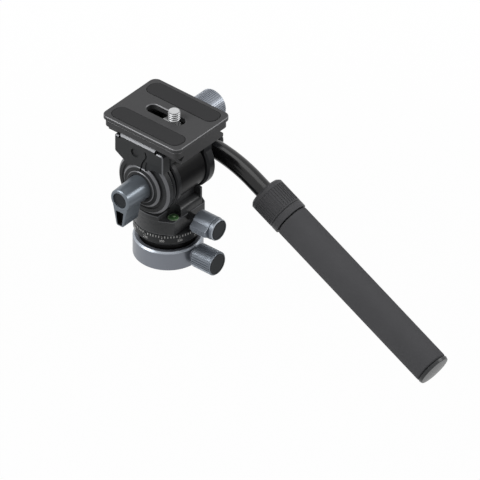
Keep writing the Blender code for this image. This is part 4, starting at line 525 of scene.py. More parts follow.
class Solid:
    """A closed mesh in millimetres, cut and joined and rounded until it becomes a piece."""

    def __init__(self, shape: bmesh.types.BMesh) -> None:
        """Take over a bmesh.

        Args:
            shape: The shape, which is freed here.
        """
        mesh = bpy.data.meshes.new("solid")
        bmesh.ops.recalc_face_normals(shape, faces=shape.faces)
        shape.to_mesh(mesh)
        shape.free()
        self.object = bpy.data.objects.new("solid", mesh)
        bpy.context.scene.collection.objects.link(self.object)

    @classmethod
    def turned(cls, profile: Sequence[Point2], steps: int = TURN_STEPS, bored: bool = False) -> "Solid":
        """Turn a profile about Z.

        Args:
            profile: Pairs of radius and height, down the outer side.
            steps: Segments round the axis.
            bored: True where the profile is a closed loop off the axis.

        Returns:
            The turned solid.
        """
        shape = bmesh.new()
        rings = []
        for radius, height in profile:
            turns = [0.0] if radius < 1e-6 else [2 * math.pi * i / steps for i in range(steps)]
            rings.append([
                shape.verts.new((radius * math.cos(t), radius * math.sin(t), height)) for t in turns])
        pairs = list(zip(rings, rings[1:]))
        if bored:
            pairs.append((rings[-1], rings[0]))
        for upper, lower in pairs:
            first, last = upper[0].co, lower[0].co
            # Slanted faces are marked for the piece's edge finish, which paints their highlight
            slanted = abs(first.x - last.x) > EDGE_LEAST and abs(first.z - last.z) > EDGE_LEAST
            for i in range(steps):
                loop = [upper[i % len(upper)], lower[i % len(lower)],
                        lower[(i + 1) % len(lower)], upper[(i + 1) % len(upper)]]
                corners = list(dict.fromkeys(loop))
                if len(corners) > 2:
                    shape.faces.new(corners).material_index = int(slanted)
        return cls(shape)

    @classmethod
    def lofted(cls, sections: Sequence[tuple[Sequence[Point2], float]]) -> "Solid":
        """Join flat outlines that have the same number of points.

        Args:
            sections: Each outline and its height.

        Returns:
            The solid between the first and the last.
        """
        shape = bmesh.new()
        rings = [[shape.verts.new((x, y, height)) for x, y in outline] for outline, height in sections]
        shape.faces.new(rings[0][::-1])
        shape.faces.new(rings[-1])
        for foot, head in zip(rings, rings[1:]):
            # Slanted faces are marked for the piece's edge finish, which paints their highlight
            slanted = (foot[0].co.xy - head[0].co.xy).length > EDGE_LEAST
            for i in range(len(foot)):
                j = (i + 1) % len(foot)
                shape.faces.new((foot[i], foot[j], head[j], head[i])).material_index = int(slanted)
        return cls(shape)

    @classmethod
    def prism(cls, outline: Sequence[Point2], low: float, high: float) -> "Solid":
        """Give a flat outline a thickness along Z, between two heights."""
        return cls.lofted([(outline, low), (outline, high)])

    @classmethod
    def slab(cls, outline: Sequence[Point2], low: float, high: float, edge: float, steps: int = 1) -> "Solid":
        """Give a flat outline a thickness along Z, with its edges chamfered or, in more steps, rounded.

        Args:
            outline: The outline's points.
            low: Height of one end.
            high: Height of the other.
            edge: Size of the chamfer or radius of the rounding.
            steps: Segments in it.

        Returns:
            The slab.
        """
        outline = anticlockwise(outline)
        turns = [math.pi / 2 * k / steps for k in range(steps + 1)]
        sections = [
            (inset(outline, edge * (1 - math.sin(t))), low + edge * (1 - math.cos(t))) for t in turns]
        sections += [(section, low + high - height) for section, height in reversed(sections)]
        return cls.lofted(sections)

    @classmethod
    def block(cls, low: Point3, high: Point3) -> "Solid":
        """Make a block between two corners.

        Args:
            low: Lowest corner.
            high: Highest corner.

        Returns:
            The block.
        """
        shape = bmesh.new()
        bmesh.ops.create_cube(shape, size=1)
        size = Vector(high) - Vector(low)
        bmesh.ops.scale(shape, vec=size, verts=shape.verts)
        bmesh.ops.translate(shape, vec=(Vector(low) + Vector(high)) / 2, verts=shape.verts)
        return cls(shape)

    @classmethod
    def rod(
        cls, radius: float, low: float, high: float, edge: float = 0.0, steps: int = TURN_STEPS,
    ) -> "Solid":
        """Make a round rod along Z with rounded ends.

        Args:
            radius: The rod's radius.
            low: Height of its foot.
            high: Height of its head.
            edge: Radius of the rounding at both ends.
            steps: Segments round the axis.

        Returns:
            The rod.
        """
        profile = rounded([(0, high, 0), (radius, high, edge), (radius, low, edge), (0, low, 0)], 4, False)
        return cls.turned(profile, steps)

    @classmethod
    def swept(cls, path: Sequence[Point3], radius: float, steps: int = 48) -> "Solid":
        """Run a round section along a path.

        Args:
            path: Points of the path, which lies in a plane of constant Y.
            radius: The section's radius.
            steps: Segments round the section.

        Returns:
            The swept rod.
        """
        shape = bmesh.new()
        across = Vector((0, 1, 0))
        rings = []
        for i, point in enumerate(path):
            ahead = Vector(path[min(i + 1, len(path) - 1)]) - Vector(path[max(i - 1, 0)])
            side = across.cross(ahead).normalized()
            rings.append([
                shape.verts.new(
                    Vector(point) + radius * (math.cos(t) * side + math.sin(t) * across))
                for t in (2 * math.pi * k / steps for k in range(steps))])
        for first, second in zip(rings, rings[1:]):
            for i in range(steps):
                j = (i + 1) % steps
                shape.faces.new((first[i], first[j], second[j], second[i]))
        shape.faces.new(rings[0])
        shape.faces.new(rings[-1][::-1])
        return cls(shape)

    def _apply(self) -> None:
        """Turn the modifiers into plain mesh."""
        bpy.context.view_layer.update()
        graph = bpy.context.evaluated_depsgraph_get()
        mesh = bpy.data.meshes.new_from_object(self.object.evaluated_get(graph))
        self.object.modifiers.clear()
        self.object.data = mesh

    def placed(self, turn: Along = Along.Z, at: Point3 = (0, 0, 0)) -> "Solid":
        """Turn the solid, then move it.

        Args:
            turn: Where its Z axis goes.
            at: Where its origin goes.

        Returns:
            This solid.
        """
        self.object.data.transform(Matrix.Translation(at) @ turn.value)
        return self

    def bevelled(self, width: float, segments: int = 3, angle: float = 40) -> "Solid":
        """Round the edges sharper than an angle.

        Args:
            width: Width of the rounding.
            segments: Its segments.
            angle: The least angle between faces, in degrees.

        Returns:
            This solid.
        """
        bevel = self.object.modifiers.new("Edge", "BEVEL")
        bevel.width = width
        bevel.segments = segments
        bevel.limit_method = "ANGLE"
        bevel.angle_limit = math.radians(angle)
        bevel.use_clamp_overlap = False
        self._apply()
        return self

    def _combine(self, others: Sequence["Solid"], operation: str) -> "Solid":
        """Combine with other solids, which are used up.

        Args:
            others: The other solids.
            operation: The Boolean operation.

        Returns:
            This solid.
        """
        least = max(solid.volume() for solid in (self, *others)) if operation == "UNION" else 0.0
        for other in others:
            step = self.object.modifiers.new("Combine", "BOOLEAN")
            step.operation = operation
            step.solver = "EXACT"
            step.object = other.object
        self._apply()
        for other in others:
            bpy.data.objects.remove(other.object, do_unlink=True)
        if self.volume() < 0.99 * least or not self.object.data.polygons:
            raise ValueError(f"{operation} lost a solid")
        return self

    def volume(self) -> float:
        """Give the volume in cubic millimetres."""
        shape = bmesh.new()
        shape.from_mesh(self.object.data)
        volume = abs(shape.calc_volume())
        shape.free()
        return volume

    def marked(self, edge: bool = True) -> "Solid":
        """Give every face the edge finish, or none of them; a marked cutter dresses the surfaces that it cuts."""
        self.object.data.polygons.foreach_set("material_index", [int(edge)] * len(self.object.data.polygons))
        return self

    def cut(self, *others: "Solid") -> "Solid":
        """Cut other solids out of this one."""
        return self._combine(others, "DIFFERENCE")

    def joined(self, *others: "Solid") -> "Solid":
        """Join other solids to this one."""
        return self._combine(others, "UNION")

    def kept(self, *others: "Solid") -> "Solid":
        """Keep what this solid shares with others."""
        return self._combine(others, "INTERSECT")

    def beside(self, *others: "Solid") -> "Solid":
        """Add other closed shells to this mesh without joining their surfaces."""
        shape = bmesh.new()
        shape.from_mesh(self.object.data)
        for other in others:
            shape.from_mesh(other.object.data)
            bpy.data.objects.remove(other.object, do_unlink=True)
        shape.to_mesh(self.object.data)
        shape.free()
        return self

    def piece(
        self, name: str, finish: Finish, body: str, nodes: Sequence[str] = (), stand: Stand = Stand.BASE,
        edge: Optional[Finish] = None,
    ) -> bpy.types.Object:
        """Finish the solid as a piece of the object.

        Args:
            name: The piece's name.
            finish: Its finish.
            body: The body that it rides on.
            nodes: The CAD nodes that it stands for.
            stand: Where its sub-assembly's origin is.
            edge: The finish of its chamfers and marked faces, where it isn't that of the rest; a paler one paints
                their highlight, a darker one paints shade.

        Returns:
            The piece.
        """
        piece = self.object
        piece.name = piece.data.name = name
        piece.data.transform(Matrix.Scale(MM, 4) @ Matrix.Translation(stand.value))
        shape = bmesh.new()
        shape.from_mesh(piece.data)
        bmesh.ops.remove_doubles(shape, verts=shape.verts, dist=1e-7)
        bmesh.ops.dissolve_degenerate(shape, edges=shape.edges, dist=1e-7)
        shape.to_mesh(piece.data)
        shape.free()
        piece.data.shade_smooth()
        piece.data.set_sharp_from_angle(angle=SHARP_ANGLE)
        weight = piece.modifiers.new("Normals", "WEIGHTED_NORMAL")
        weight.keep_sharp = True
        self._apply()
        piece.data.name = name
        marks = [face.material_index if edge else 0 for face in piece.data.polygons]
        piece.data.materials.clear()
        piece.data.materials.append(finish.material())
        if edge:
            piece.data.materials.append(edge.material())
        piece.data.polygons.foreach_set("material_index", marks)
        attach(piece, body)
        if nodes:
            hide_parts(*nodes)
        log.info("%s: %d faces on %s", name, len(piece.data.polygons), body)
        return piece


# Repeated forms made by Geometry Nodes


@dataclass(frozen=True)
class Ring:
    """Equal small bars round an axis, such as the ribs of a knob or the marks of a scale.

    A bar is as deep as its size across the ring, wide round it and long along the axis.
    """

    count: int
    radius: float
    depth: float
    width: float
    length: float
    taper: float = 1.0

    def tree(self) -> bpy.types.NodeTree:
        """Give the tree that lays the bars round a circle, made once.

        Returns:
            The node group.
        """
        made = bpy.data.node_groups.get("Bars round an axis")
        if made:
            return made
        tree = bpy.data.node_groups.new("Bars round an axis", "GeometryNodeTree")
        for name in ("Count", "Radius", "Depth", "Width", "Length", "Taper"):
            kind = "NodeSocketInt" if name == "Count" else "NodeSocketFloat"
            tree.interface.new_socket(name, in_out="INPUT", socket_type=kind)
        tree.interface.new_socket("Material", in_out="INPUT", socket_type="NodeSocketMaterial")
        tree.interface.new_socket("Geometry", in_out="OUTPUT", socket_type="NodeSocketGeometry")
        entry = add_node(tree, "NodeGroupInput").outputs
        circle = add_node(
            tree, "GeometryNodeMeshCircle", None, {"Vertices": entry["Count"], "Radius": entry["Radius"]})
        size = add_node(
            tree, "ShaderNodeCombineXYZ", None, {0: entry["Depth"], 1: entry["Width"], 2: entry["Length"]})
        bar = add_node(tree, "GeometryNodeMeshCube", None, {"Size": size.outputs[0]})
        spot = add_node(tree, "GeometryNodeInputPosition")
        split = add_node(tree, "ShaderNodeSeparateXYZ", None, {0: spot.outputs[0]})
        outer = add_node(
            tree, "FunctionNodeCompare", {"operation": "GREATER_THAN", "B": 0.0}, {"A": split.outputs[0]})
        narrow = add_node(tree, "ShaderNodeCombineXYZ", {0: 1.0, 2: 1.0}, {1: entry["Taper"]})
        thin = add_node(
            tree, "ShaderNodeVectorMath", {"operation": "MULTIPLY"},
            {0: spot.outputs[0], 1: narrow.outputs[0]})
        shaped = add_node(
            tree, "GeometryNodeSetPosition", None,
            {"Geometry": bar.outputs["Mesh"], "Selection": outer.outputs[0], "Position": thin.outputs[0]})
        facing = add_node(
            tree, "FunctionNodeAlignRotationToVector", {"axis": "X", "pivot_axis": "Z"},
            {"Vector": spot.outputs[0]})
        copies = add_node(
            tree, "GeometryNodeInstanceOnPoints", None,
            {"Points": circle.outputs[0], "Instance": shaped.outputs[0], "Rotation": facing.outputs[0]})
        real = add_node(tree, "GeometryNodeRealizeInstances", None, {0: copies.outputs[0]})
        dressed = add_node(
            tree, "GeometryNodeSetMaterial", None,
            {"Geometry": real.outputs[0], "Material": entry["Material"]})
        add_node(tree, "NodeGroupOutput", None, {0: dressed.outputs[0]})
        return tree

    def solid(self, finish: Finish) -> Solid:
        """Lay the bars round Z at height zero as plain mesh.

        Args:
            finish: Their finish.

        Returns:
            The bars.
        """
        made = Solid(bmesh.new())
        step = made.object.modifiers.new("Bars", "NODES")
        step.node_group = self.tree()
        values = {
            "Count": self.count, "Radius": self.radius, "Depth": self.depth, "Width": self.width,
            "Length": self.length, "Taper": self.taper, "Material": finish.material()}
        for item in step.node_group.interface.items_tree:
            if item.in_out == "INPUT":
                step[item.identifier] = values[item.name]
        made._apply()
        return made


# Sub-assemblies


class SubAssembly:
    """Pieces of the head that are built and dressed together."""

    title: ClassVar[str] = ""

    def build(self) -> None:
        """Build the pieces; each sub-assembly has its own way."""
        raise NotImplementedError


def end_disc(radius: float, foot: float, top: float, rim: float = 0.9, dish: float = 0.12) -> Solid:
    """Make the disc in the end of a knob, dished by a fine turned step.

    Args:
        radius: The disc's radius.
        foot: Height of its back.
        top: Height of its rim.
        rim: Width of the rim with its slope.
        dish: How far the middle lies below the rim.

    Returns:
        The disc, with its axis on Z.
    """
    slope = 0.15
    return Solid.turned(rounded([
        (0, top - dish, 0), (radius - rim, top - dish, 0), (radius - rim + slope, top, 0.05),
        (radius, top, 0.15), (radius, foot, 0.1), (0, foot, 0)], 3, False))


@dataclass(frozen=True)
class KnurledKnob:
    """A turned knob with straight knurls, an end disc let into its face and a blind bore for its screw."""

    radius: float
    length: float
    knurls: int
    cap_radius: float
    bore: float
    bore_length: float = 7.3
    depth: float = 0.45
    chamfer: float = 0.55
    cap_thickness: float = 1.2
    cap_proud: float = 0.1
    edge: float = 0.05

    def body(self, finish: Finish) -> Solid:
        """Make the knob from its root at height zero.

        Args:
            finish: Its finish.

        Returns:
            The knob, with its axis on Z.
        """
        face = self.length - self.cap_thickness
        rim = self.radius - self.chamfer
        low = self.radius - self.depth
        drop = self.chamfer - self.depth + 0.06
        core = Solid.turned(rounded([
            (0, face - GAP, 0), (self.cap_radius + GAP, face - GAP, 0),
            (self.cap_radius + GAP, self.length, self.edge), (rim, self.length, self.edge),
            (low, self.length - drop, self.edge), (low, drop, self.edge), (rim, 0, self.edge),
            (self.bore, 0, 0), (self.bore, self.bore_length, 0), (0, self.bore_length, 0)], 2, False))
        sleeve = Solid.turned([
            (0, self.length - 0.1), (rim + 0.1, self.length - 0.1), (self.radius, self.length - self.chamfer),
            (self.radius, self.chamfer), (rim + 0.1, 0.1), (0, 0.1)])
        pitch = 2 * math.pi * self.radius / self.knurls
        bars = Ring(self.knurls, low, 2 * self.depth, 0.7 * pitch, self.length, 0.55).solid(finish)
        bars.placed(Along.Z, (0, 0, self.length / 2))
        return core.joined(bars.kept(sleeve))

    def cap(self) -> Solid:
        """Make the end disc, with its axis on Z."""
        return end_disc(self.cap_radius, self.length - self.cap_thickness, self.length + self.cap_proud)


@dataclass
class LevellingBase(SubAssembly):
    """The grey ring that stands on the tripod, with the boss of the lock screw."""

    title: ClassVar[str] = "levelling base"
    radius: float = 18.5
    rim_radius: float = 17.5
    wall_top: float = 10.6
    top: float = 11.6
    foot_chamfer: float = 0.5
    floor_radius: float = 14.0
    floor_thickness: float = 3.3
    ball_centre: float = 9.3
    socket_radius: float = 15.8
    boss_radius: float = 4.0
    boss_reach: float = 20.3
    screw_height: float = 6.9
    screw_bore: float = 2.1
    bush_radius: float = 6.6
    thread_radius: float = 4.76
    thread_pitch: float = 1.5875

    def build(self) -> None:
        """Build the ring, its floor and the threaded bush."""
        ledge = self.floor_thickness + GAP / 2
        low = -math.degrees(math.asin((self.ball_centre - ledge) / self.socket_radius))
        high = math.degrees(math.asin((self.top - self.ball_centre) / self.socket_radius))
        socket = arc((0, self.ball_centre), self.socket_radius, low, high, 16)
        outer = rounded([
            (socket[-1][0], self.top, 0), (self.rim_radius, self.top, 0.2),
            (self.radius, self.wall_top, 0.15),
            (self.radius, self.foot_chamfer, 0.15), (self.radius - self.foot_chamfer, 0, 0.15),
            (self.floor_radius + GAP, 0, 0.1), (self.floor_radius + GAP, ledge, 0)],
            3, False)
        ring = Solid.turned(outer + socket[:-1], bored=True)
        boss = Solid.rod(self.boss_radius, 16.6, self.boss_reach, 0.25, SMALL_TURN_STEPS)
        ring.joined(boss.placed(Along.X, (0, 0, self.screw_height)))
        bore = Solid.rod(self.screw_bore, 0, self.boss_reach + 1, 0, SMALL_TURN_STEPS)
        ring.cut(bore.placed(Along.X, (0, 0, self.screw_height)))
        ring.piece("grey_base_ring", GREY_TURNED, "base", ["base_ring"], edge=GREY_EDGE_HIGHLIGHT)

        floor = Solid.turned(rounded([
            (self.bush_radius + GAP, self.floor_thickness, 0.1),
            (self.floor_radius, self.floor_thickness, 0.15),
            (self.floor_radius, 0, 0.2), (self.bush_radius + GAP, 0, 0.15)], 3), bored=True)
        floor.piece("base_floor_disc", BLACK_BLASTED, "base", ["base_plate"])
        bush = Solid.rod(self.bush_radius, 0, self.floor_thickness, 0.12, SMALL_TURN_STEPS)
        thread = Thread(self.thread_radius, self.thread_pitch, -0.8, self.floor_thickness + 0.8, 0)
        bush.cut(thread.solid())
        bush.piece("threaded_bush", STEEL, "base", ["thread_bush"])


@dataclass(frozen=True)
class Thread:
    """A right-handed screw thread, as a solid rod."""

    radius: float
    pitch: float
    low: float
    high: float
    point: float
    depth: float = 0.58
    steps: int = 72
    rows_per_turn: int = 24

    def solid(self) -> Solid:
        """Turn a grid whose radius follows the helix.

        Returns:
            The threaded rod on Z.
        """
        depth = self.depth * self.pitch
        rows = round((self.high - self.low) / self.pitch * self.rows_per_turn)
        shape = bmesh.new()
        rings = []
        for k in range(rows + 1):
            height = self.low + (self.high - self.low) * k / rows
            end = min(height - self.low, self.high - height)
            limit = self.radius - max(0.0, self.point - end) if self.point else self.radius
            ring = []
            for i in range(self.steps):
                phase = (height / self.pitch - i / self.steps) % 1.0
                crest = min(1.0, max(0.0, 1.25 * (1 - abs(2 * phase - 1)) - 0.1))
                radius = min(limit, self.radius - depth * (1 - crest))
                turn = 2 * math.pi * i / self.steps
                ring.append(shape.verts.new((radius * math.cos(turn), radius * math.sin(turn), height)))
            rings.append(ring)
        for lower, upper in zip(rings, rings[1:]):
            for i in range(self.steps):
                j = (i + 1) % self.steps
                face = shape.faces.new((lower[i], lower[j], upper[j], upper[i]))
                reach = face.calc_center_median().xy.length
                # Faces deep in the groove take the second finish, which paints shade in the thread's root
                face.material_index = int(reach < self.radius - 0.45 * depth)
        shape.faces.new(rings[0][::-1])
        shape.faces.new(rings[-1])
        return Solid(shape)


@dataclass
class LevelKnob(SubAssembly):
    """The knurled knob that locks the levelling ball."""

    title: ClassVar[str] = "level lock knob"
    at: Point3 = (20.6, 0.0, 6.9)
    knob: KnurledKnob = KnurledKnob(radius=6.7, length=13.1, knurls=30, cap_radius=5.8, bore=2.1)

    def build(self) -> None:
        """Build the knob and its end disc."""
        self.knob.body(GREY_ALONG_X).placed(Along.X, self.at).piece(
            "level_knob_body", GREY_ALONG_X, "level_lock_knob", ["level_knob"], edge=GREY_EDGE_HIGHLIGHT)
        self.knob.cap().placed(Along.X, self.at).piece(
            "level_knob_disc", NYLON, "level_lock_knob", ["level_knob_cap"])


@dataclass
class LevellingBall(SubAssembly):
    """The dark ball in the ring and the graduated ring on it."""

    title: ClassVar[str] = "levelling ball and scale"
    centre: float = 9.3
    radius: float = 14.6
    foot_drop: float = 3.8
    crown: float = 13.9
    hub_radius: float = 12.5
    hub_top: float = 22.1
    pit_radius: float = 4.3
    pit_floor: float = 13.9
    ring_radius: float = 18.3
    ring_foot_radius: float = 15.4
    ring_foot: float = 14.2
    ring_wall: float = 17.2
    ring_top: float = 22.4
    ring_bore: float = 12.8

    def build(self) -> None:
        """Build the ball and the ring."""
        crown = math.degrees(math.asin((self.crown - self.centre) / self.radius))
        foot = -math.degrees(math.asin(self.foot_drop / self.radius))
        profile = [
            (0, self.pit_floor), (self.pit_radius, self.pit_floor), (self.pit_radius, self.hub_top),
            (self.hub_radius, self.hub_top), (self.hub_radius, self.crown)]
        profile += arc((0, self.centre), self.radius, crown, foot, 24) + [(0, self.centre - self.foot_drop)]
        Solid.turned(profile).piece("dark_ball", BLACK_GLOSS, "levelling_ball", ["level_ball"])
        ring = Solid.turned(rounded([
            (self.ring_bore, self.ring_top, 0.1), (self.ring_radius, self.ring_top, 0.3),
            (self.ring_radius, self.ring_wall, 0.8), (self.ring_foot_radius, self.ring_foot, 0.3),
            (self.ring_bore, self.ring_foot, 0.1)], 5), bored=True)
        ring.piece("graduated_ring", BLACK_BLASTED, "levelling_ball", ["scale_ring"])


@dataclass
class PanScale(SubAssembly):
    """The white degree marks and numbers on the graduated ring."""

    title: ClassVar[str] = "pan scale"
    radius: float = 18.3
    marks: int = 72
    numbers: int = 12
    mark_width: float = 0.32
    mark_length: float = 1.3
    long_mark: float = 1.9
    mark_top: float = 22.0
    number_height: float = 1.9
    number_middle: float = 18.75
    ink: float = 0.03

    def build(self) -> None:
        """Lay the marks and the numbers round the ring."""
        for name, count, length in (
                ("scale_marks", self.marks, self.mark_length),
                ("scale_long_marks", self.numbers, self.long_mark)):
            ring = Ring(count, self.radius, 2 * self.ink, self.mark_width, length)
            ring.solid(
                INK).placed(Along.Z, (0, 0, self.mark_top - length / 2)).piece(name, INK, "levelling_ball")
        self.digits().piece("scale_numbers", INK, "levelling_ball")

    def digits(self) -> Solid:
        """Write the numbers and bend them round the ring.

        Returns:
            All the digits.
        """
        shape = bmesh.new()
        for k in range(self.numbers):
            text = bpy.data.curves.new("number", "FONT")
            text.body = str(360 // self.numbers * k)
            text.size = self.number_height
            text.extrude = self.ink * 2
            text.resolution_u = 3
            text.align_x = "CENTER"
            text.align_y = "CENTER"
            holder = bpy.data.objects.new("number", text)
            bpy.context.scene.collection.objects.link(holder)
            bpy.context.view_layer.update()
            graph = bpy.context.evaluated_depsgraph_get()
            mesh = bpy.data.meshes.new_from_object(holder.evaluated_get(graph))
            bpy.data.objects.remove(holder, do_unlink=True)
            for vertex in mesh.vertices:
                across, up, out = vertex.co
                turn = 2 * math.pi * k / self.numbers + across / self.radius
                vertex.co = (
                    (self.radius + out) * math.cos(turn), (self.radius + out) * math.sin(turn),
                    self.number_middle + up)
            shape.from_mesh(mesh)
        bmesh.ops.remove_doubles(shape, verts=shape.verts, dist=1e-4)
        return Solid(shape)


@dataclass
class PanHousing(SubAssembly):
    """The black body on the pan axis, its neck, and the round level in its front step."""

    title: ClassVar[str] = "pan housing"
    radius: float = 18.3
    front: float = 14.6
    corner: float = 12.8
    corner_fillet: float = 2.1
    foot: float = 22.7
    deck: float = 33.9
    step_back: float = 7.4
    step: float = 31.2
    edge: float = 0.35
    neck_front: float = 14.3
    neck_low: float = -7.5
    neck_high: float = 10.7
    shoulder: float = 36.9
    shoulder_fillet: float = 3.4
    pedestal: float = 9.8
    pedestal_rise: float = 8.0
    cheek_thickness: float = 1.4
    cheek_top: float = 41.7
    saddle_radius: float = 16.2
    tilt_height: float = TILT_HEIGHT
    vial_at: Point2 = (11.2, -9.0)
    vial_radius: float = 3.05
    notch_radius: float = 4.0
    knob_height: float = 29.0
    knob_bore: float = 2.3
    saddle: Point2 = (-10.3, 15.0)
    pit_radius: float = 4.3
    pit_height: float = 11.6
    cavity_radius: float = 9.2
    cavity_height: float = 3.7

    def outline(self) -> list[Point2]:
        """Give the round back with the flat front.

        Returns:
            The outline.
        """
        reach = math.hypot(self.front, self.corner)
        tangent = math.degrees(math.atan2(self.corner, self.front) + math.acos(self.radius / reach))
        start = math.radians(tangent)
        side = (self.radius * math.cos(start), self.radius * math.sin(start))
        front = rounded([
            (side[0], -side[1], 0), (self.front, -self.corner, self.corner_fillet),
            (self.front, self.corner, self.corner_fillet), (side[0], side[1], 0)], 8)
        return front[1:-1] + arc((0, 0), self.radius, tangent, 360 - tangent, 80)

    def build(self) -> None:
        """Build the body with its neck, then the level."""
        outline = anticlockwise(self.outline())
        body = Solid.slab(outline, self.foot, self.step, self.edge, 2)
        back = [point for point in inset(outline, 0.02) if point[0] < self.step_back]
        first = next(
            i for i, point in enumerate(back) if (point[0] < back[i - 1][0] or i == 0) and point[1] > 0)
        back = back[first:] + back[:first]
        top_y = 0.5 * (back[0][1] + abs(back[-1][1]))
        back = [(self.step_back, top_y), *back, (self.step_back, -top_y)]
        body.joined(Solid.slab(back, self.foot + 3, self.deck, self.edge, 2))
        low = self.step - 0.6
        neck = Solid.slab(rounded([
            (-self.neck_front, low, 0), (self.neck_front, low, 0),
            (self.neck_front, self.shoulder, self.shoulder_fillet), (self.pedestal, self.shoulder, 0),
            (self.pedestal, self.shoulder + self.pedestal_rise, 0),
            (-self.pedestal, self.shoulder + self.pedestal_rise, 0), (-self.pedestal, self.shoulder, 0),
            (-self.neck_front, self.shoulder, self.shoulder_fillet)], 12), -self.neck_high, -self.neck_low,
            self.edge).placed(Along.SIDE)
        cheek = Solid.slab([
            (-self.neck_front - 0.01, low + 0.1), (self.neck_front + 0.01, low + 0.1),
            (self.neck_front + 0.01, self.cheek_top), (-self.neck_front - 0.01, self.cheek_top)],
            -self.neck_high - 0.02, -self.neck_high + self.cheek_thickness, 0.25).placed(Along.SIDE)
        for part in (neck, cheek):
            body.joined(part)
        saddle = Solid.rod(self.saddle_radius, *self.saddle, 0).placed(Along.Y, (0, 0, self.tilt_height))
        pit, cavity = self.foot + self.pit_height, self.foot + self.cavity_height
        hollow = Solid.turned([
            (0, pit), (self.pit_radius, pit), (self.pit_radius, cavity), (self.cavity_radius, cavity),
            (self.cavity_radius, self.foot - 1), (0, self.foot - 1)], SMALL_TURN_STEPS)
        x, y = self.vial_at
        notch = Solid.rod(self.notch_radius, self.step + 0.5, self.shoulder + 3, 0).placed(Along.Z, (x, y, 0))
        well = Solid.rod(
            self.vial_radius + 0.12, self.step - 2.6, self.step + 2, 0).placed(Along.Z, (x, y, 0))
        bore = Solid.rod(self.knob_bore, 0, 20, 0, SMALL_TURN_STEPS).placed(Along.X, (0, 0, self.knob_height))
        for cutter in (saddle, hollow, notch, well, bore):
            body.cut(cutter)
        body.piece("black_housing", BLACK_LIGHTENED, "pan_body", ["pan_housing"], edge=BLACK_EDGE_HIGHLIGHT)
        self.level()

    def level(self) -> None:
        """Build the round level: its green body, its clear rim, its target ring and its bubble."""
        x, y = self.vial_at
        top = self.step + 0.8
        foot = self.step - 2.3
        dome = [(r * self.vial_radius * 0.82, top - 0.35 * r * r) for r in (0, 0.3, 0.55, 0.8, 1)]
        body = Solid.turned(
            dome + [(self.vial_radius * 0.82, foot), (0, foot)], SMALL_TURN_STEPS)
        body.placed(Along.Z, (x, y, 0)).piece("level_vial", VIAL, "pan_body", ["bubble_vial"])
        rim = Solid.turned(rounded([
            (self.vial_radius * 0.84, top - 0.3, 0.1), (self.vial_radius, top - 0.45, 0.2),
            (self.vial_radius, foot, 0), (self.vial_radius * 0.84, foot, 0)], 3), SMALL_TURN_STEPS, True)
        rim.placed(Along.Z, (x, y, 0)).piece("level_vial_rim", VIAL_RIM, "pan_body")
        target = Solid.turned([
            (1.25, top - 0.01), (1.45, top - 0.03), (1.45, top - 0.3),
            (1.25, top - 0.3)], SMALL_TURN_STEPS, True)
        target.placed(Along.Z, (x, y, 0)).piece("level_target_ring", POCKET_SHADE_AND_TARGET_BLACK, "pan_body")
        bubble = Solid.turned(
            [(0.75 * math.sin(math.radians(a)), 0.16 * math.cos(math.radians(a))) for a in range(0, 91, 15)]
            + [(0, -0.1)], SMALL_TURN_STEPS)
        bubble.placed(Along.Z, (x + 0.5, y + 0.2, top - 0.08)).piece("level_bubble", BUBBLE, "pan_body")


@dataclass
class PanKnob(SubAssembly):
    """The smooth stepped knob with a wing that locks the pan."""

    title: ClassVar[str] = "pan lock knob"
    at: Point3 = (21.4, 0.0, 29.0)
    length: float = 13.5
    radius: float = 6.3
    head_radius: float = 6.0
    cap_radius: float = 5.1
    bore: float = 2.3
    wing_length: float = 10.7
    wing_reach: float = 8.3
    wing_root: float = 5.0
    wing_root_half: float = 3.5
    wing_tip_half: float = 1.6
    groove_pitch: float = 0.9

    def build(self) -> None:
        """Build the knob with its wing, and its end disc."""
        face = self.length - 1.2
        step = self.wing_length
        knob = Solid.turned(rounded([
            (0, face - GAP, 0), (self.cap_radius + GAP, face - GAP, 0),
            (self.cap_radius + GAP, self.length, 0.08),
            (self.head_radius - 0.35, self.length, 0.08), (self.head_radius, self.length - 0.5, 0.08),
            (self.head_radius, step + 0.35, 0), (self.head_radius - 0.25, step + 0.2, 0),
            (self.head_radius - 0.25, step, 0), (self.radius, step, 0.12), (self.radius, 0, 0.3),
            (self.bore, 0, 0), (self.bore, 7.3, 0), (0, 7.3, 0)], 3, False))
        knob.placed(Along.X, self.at)
        height = self.at[2]
        wing = Solid.slab([
            (-self.wing_reach, height - self.wing_tip_half), (-self.wing_root, height - self.wing_root_half),
            (-self.bore - GAP, height - self.wing_root_half),
            (-self.bore - GAP, height + self.wing_root_half),
            (-self.wing_root, height + self.wing_root_half), (-self.wing_reach, height + self.wing_tip_half)],
            self.at[0] + GAP, self.at[0] + self.wing_length, 0.25).placed(Along.FRONT)
        tip = height - self.wing_tip_half
        corner = Solid.prism([
            (self.at[0] - 1, tip + 1.3), (self.at[0], tip + 1.3), (self.at[0] + 1.8, tip),
            (self.at[0] + 3.6, tip - 1.3), (self.at[0] + 3.6, tip - 6), (self.at[0] - 1, tip - 6)],
            self.wing_root, self.wing_reach + 1).placed(Along.SIDE)
        wing.cut(corner)
        grooves = [
            Solid.block(
                (self.at[0] - 1, -self.wing_reach - 1, height + k * self.groove_pitch - 0.2),
                (self.at[0] + self.wing_length + 1, -self.wing_reach + 0.3,
                    height + k * self.groove_pitch + 0.2))
            for k in (-1, 0, 1)]
        wing.cut(*grooves)
        knob.joined(wing)
        knob.piece("pan_knob_body", GREY_ALONG_X, "pan_lock", ["pan_lock_knob"], edge=GREY_EDGE_HIGHLIGHT)
        disc = end_disc(self.cap_radius, face, self.length + 0.1, rim=0.8)
        disc.placed(Along.X, self.at).piece("pan_knob_disc", NYLON, "pan_lock", ["pan_knob_cap"])


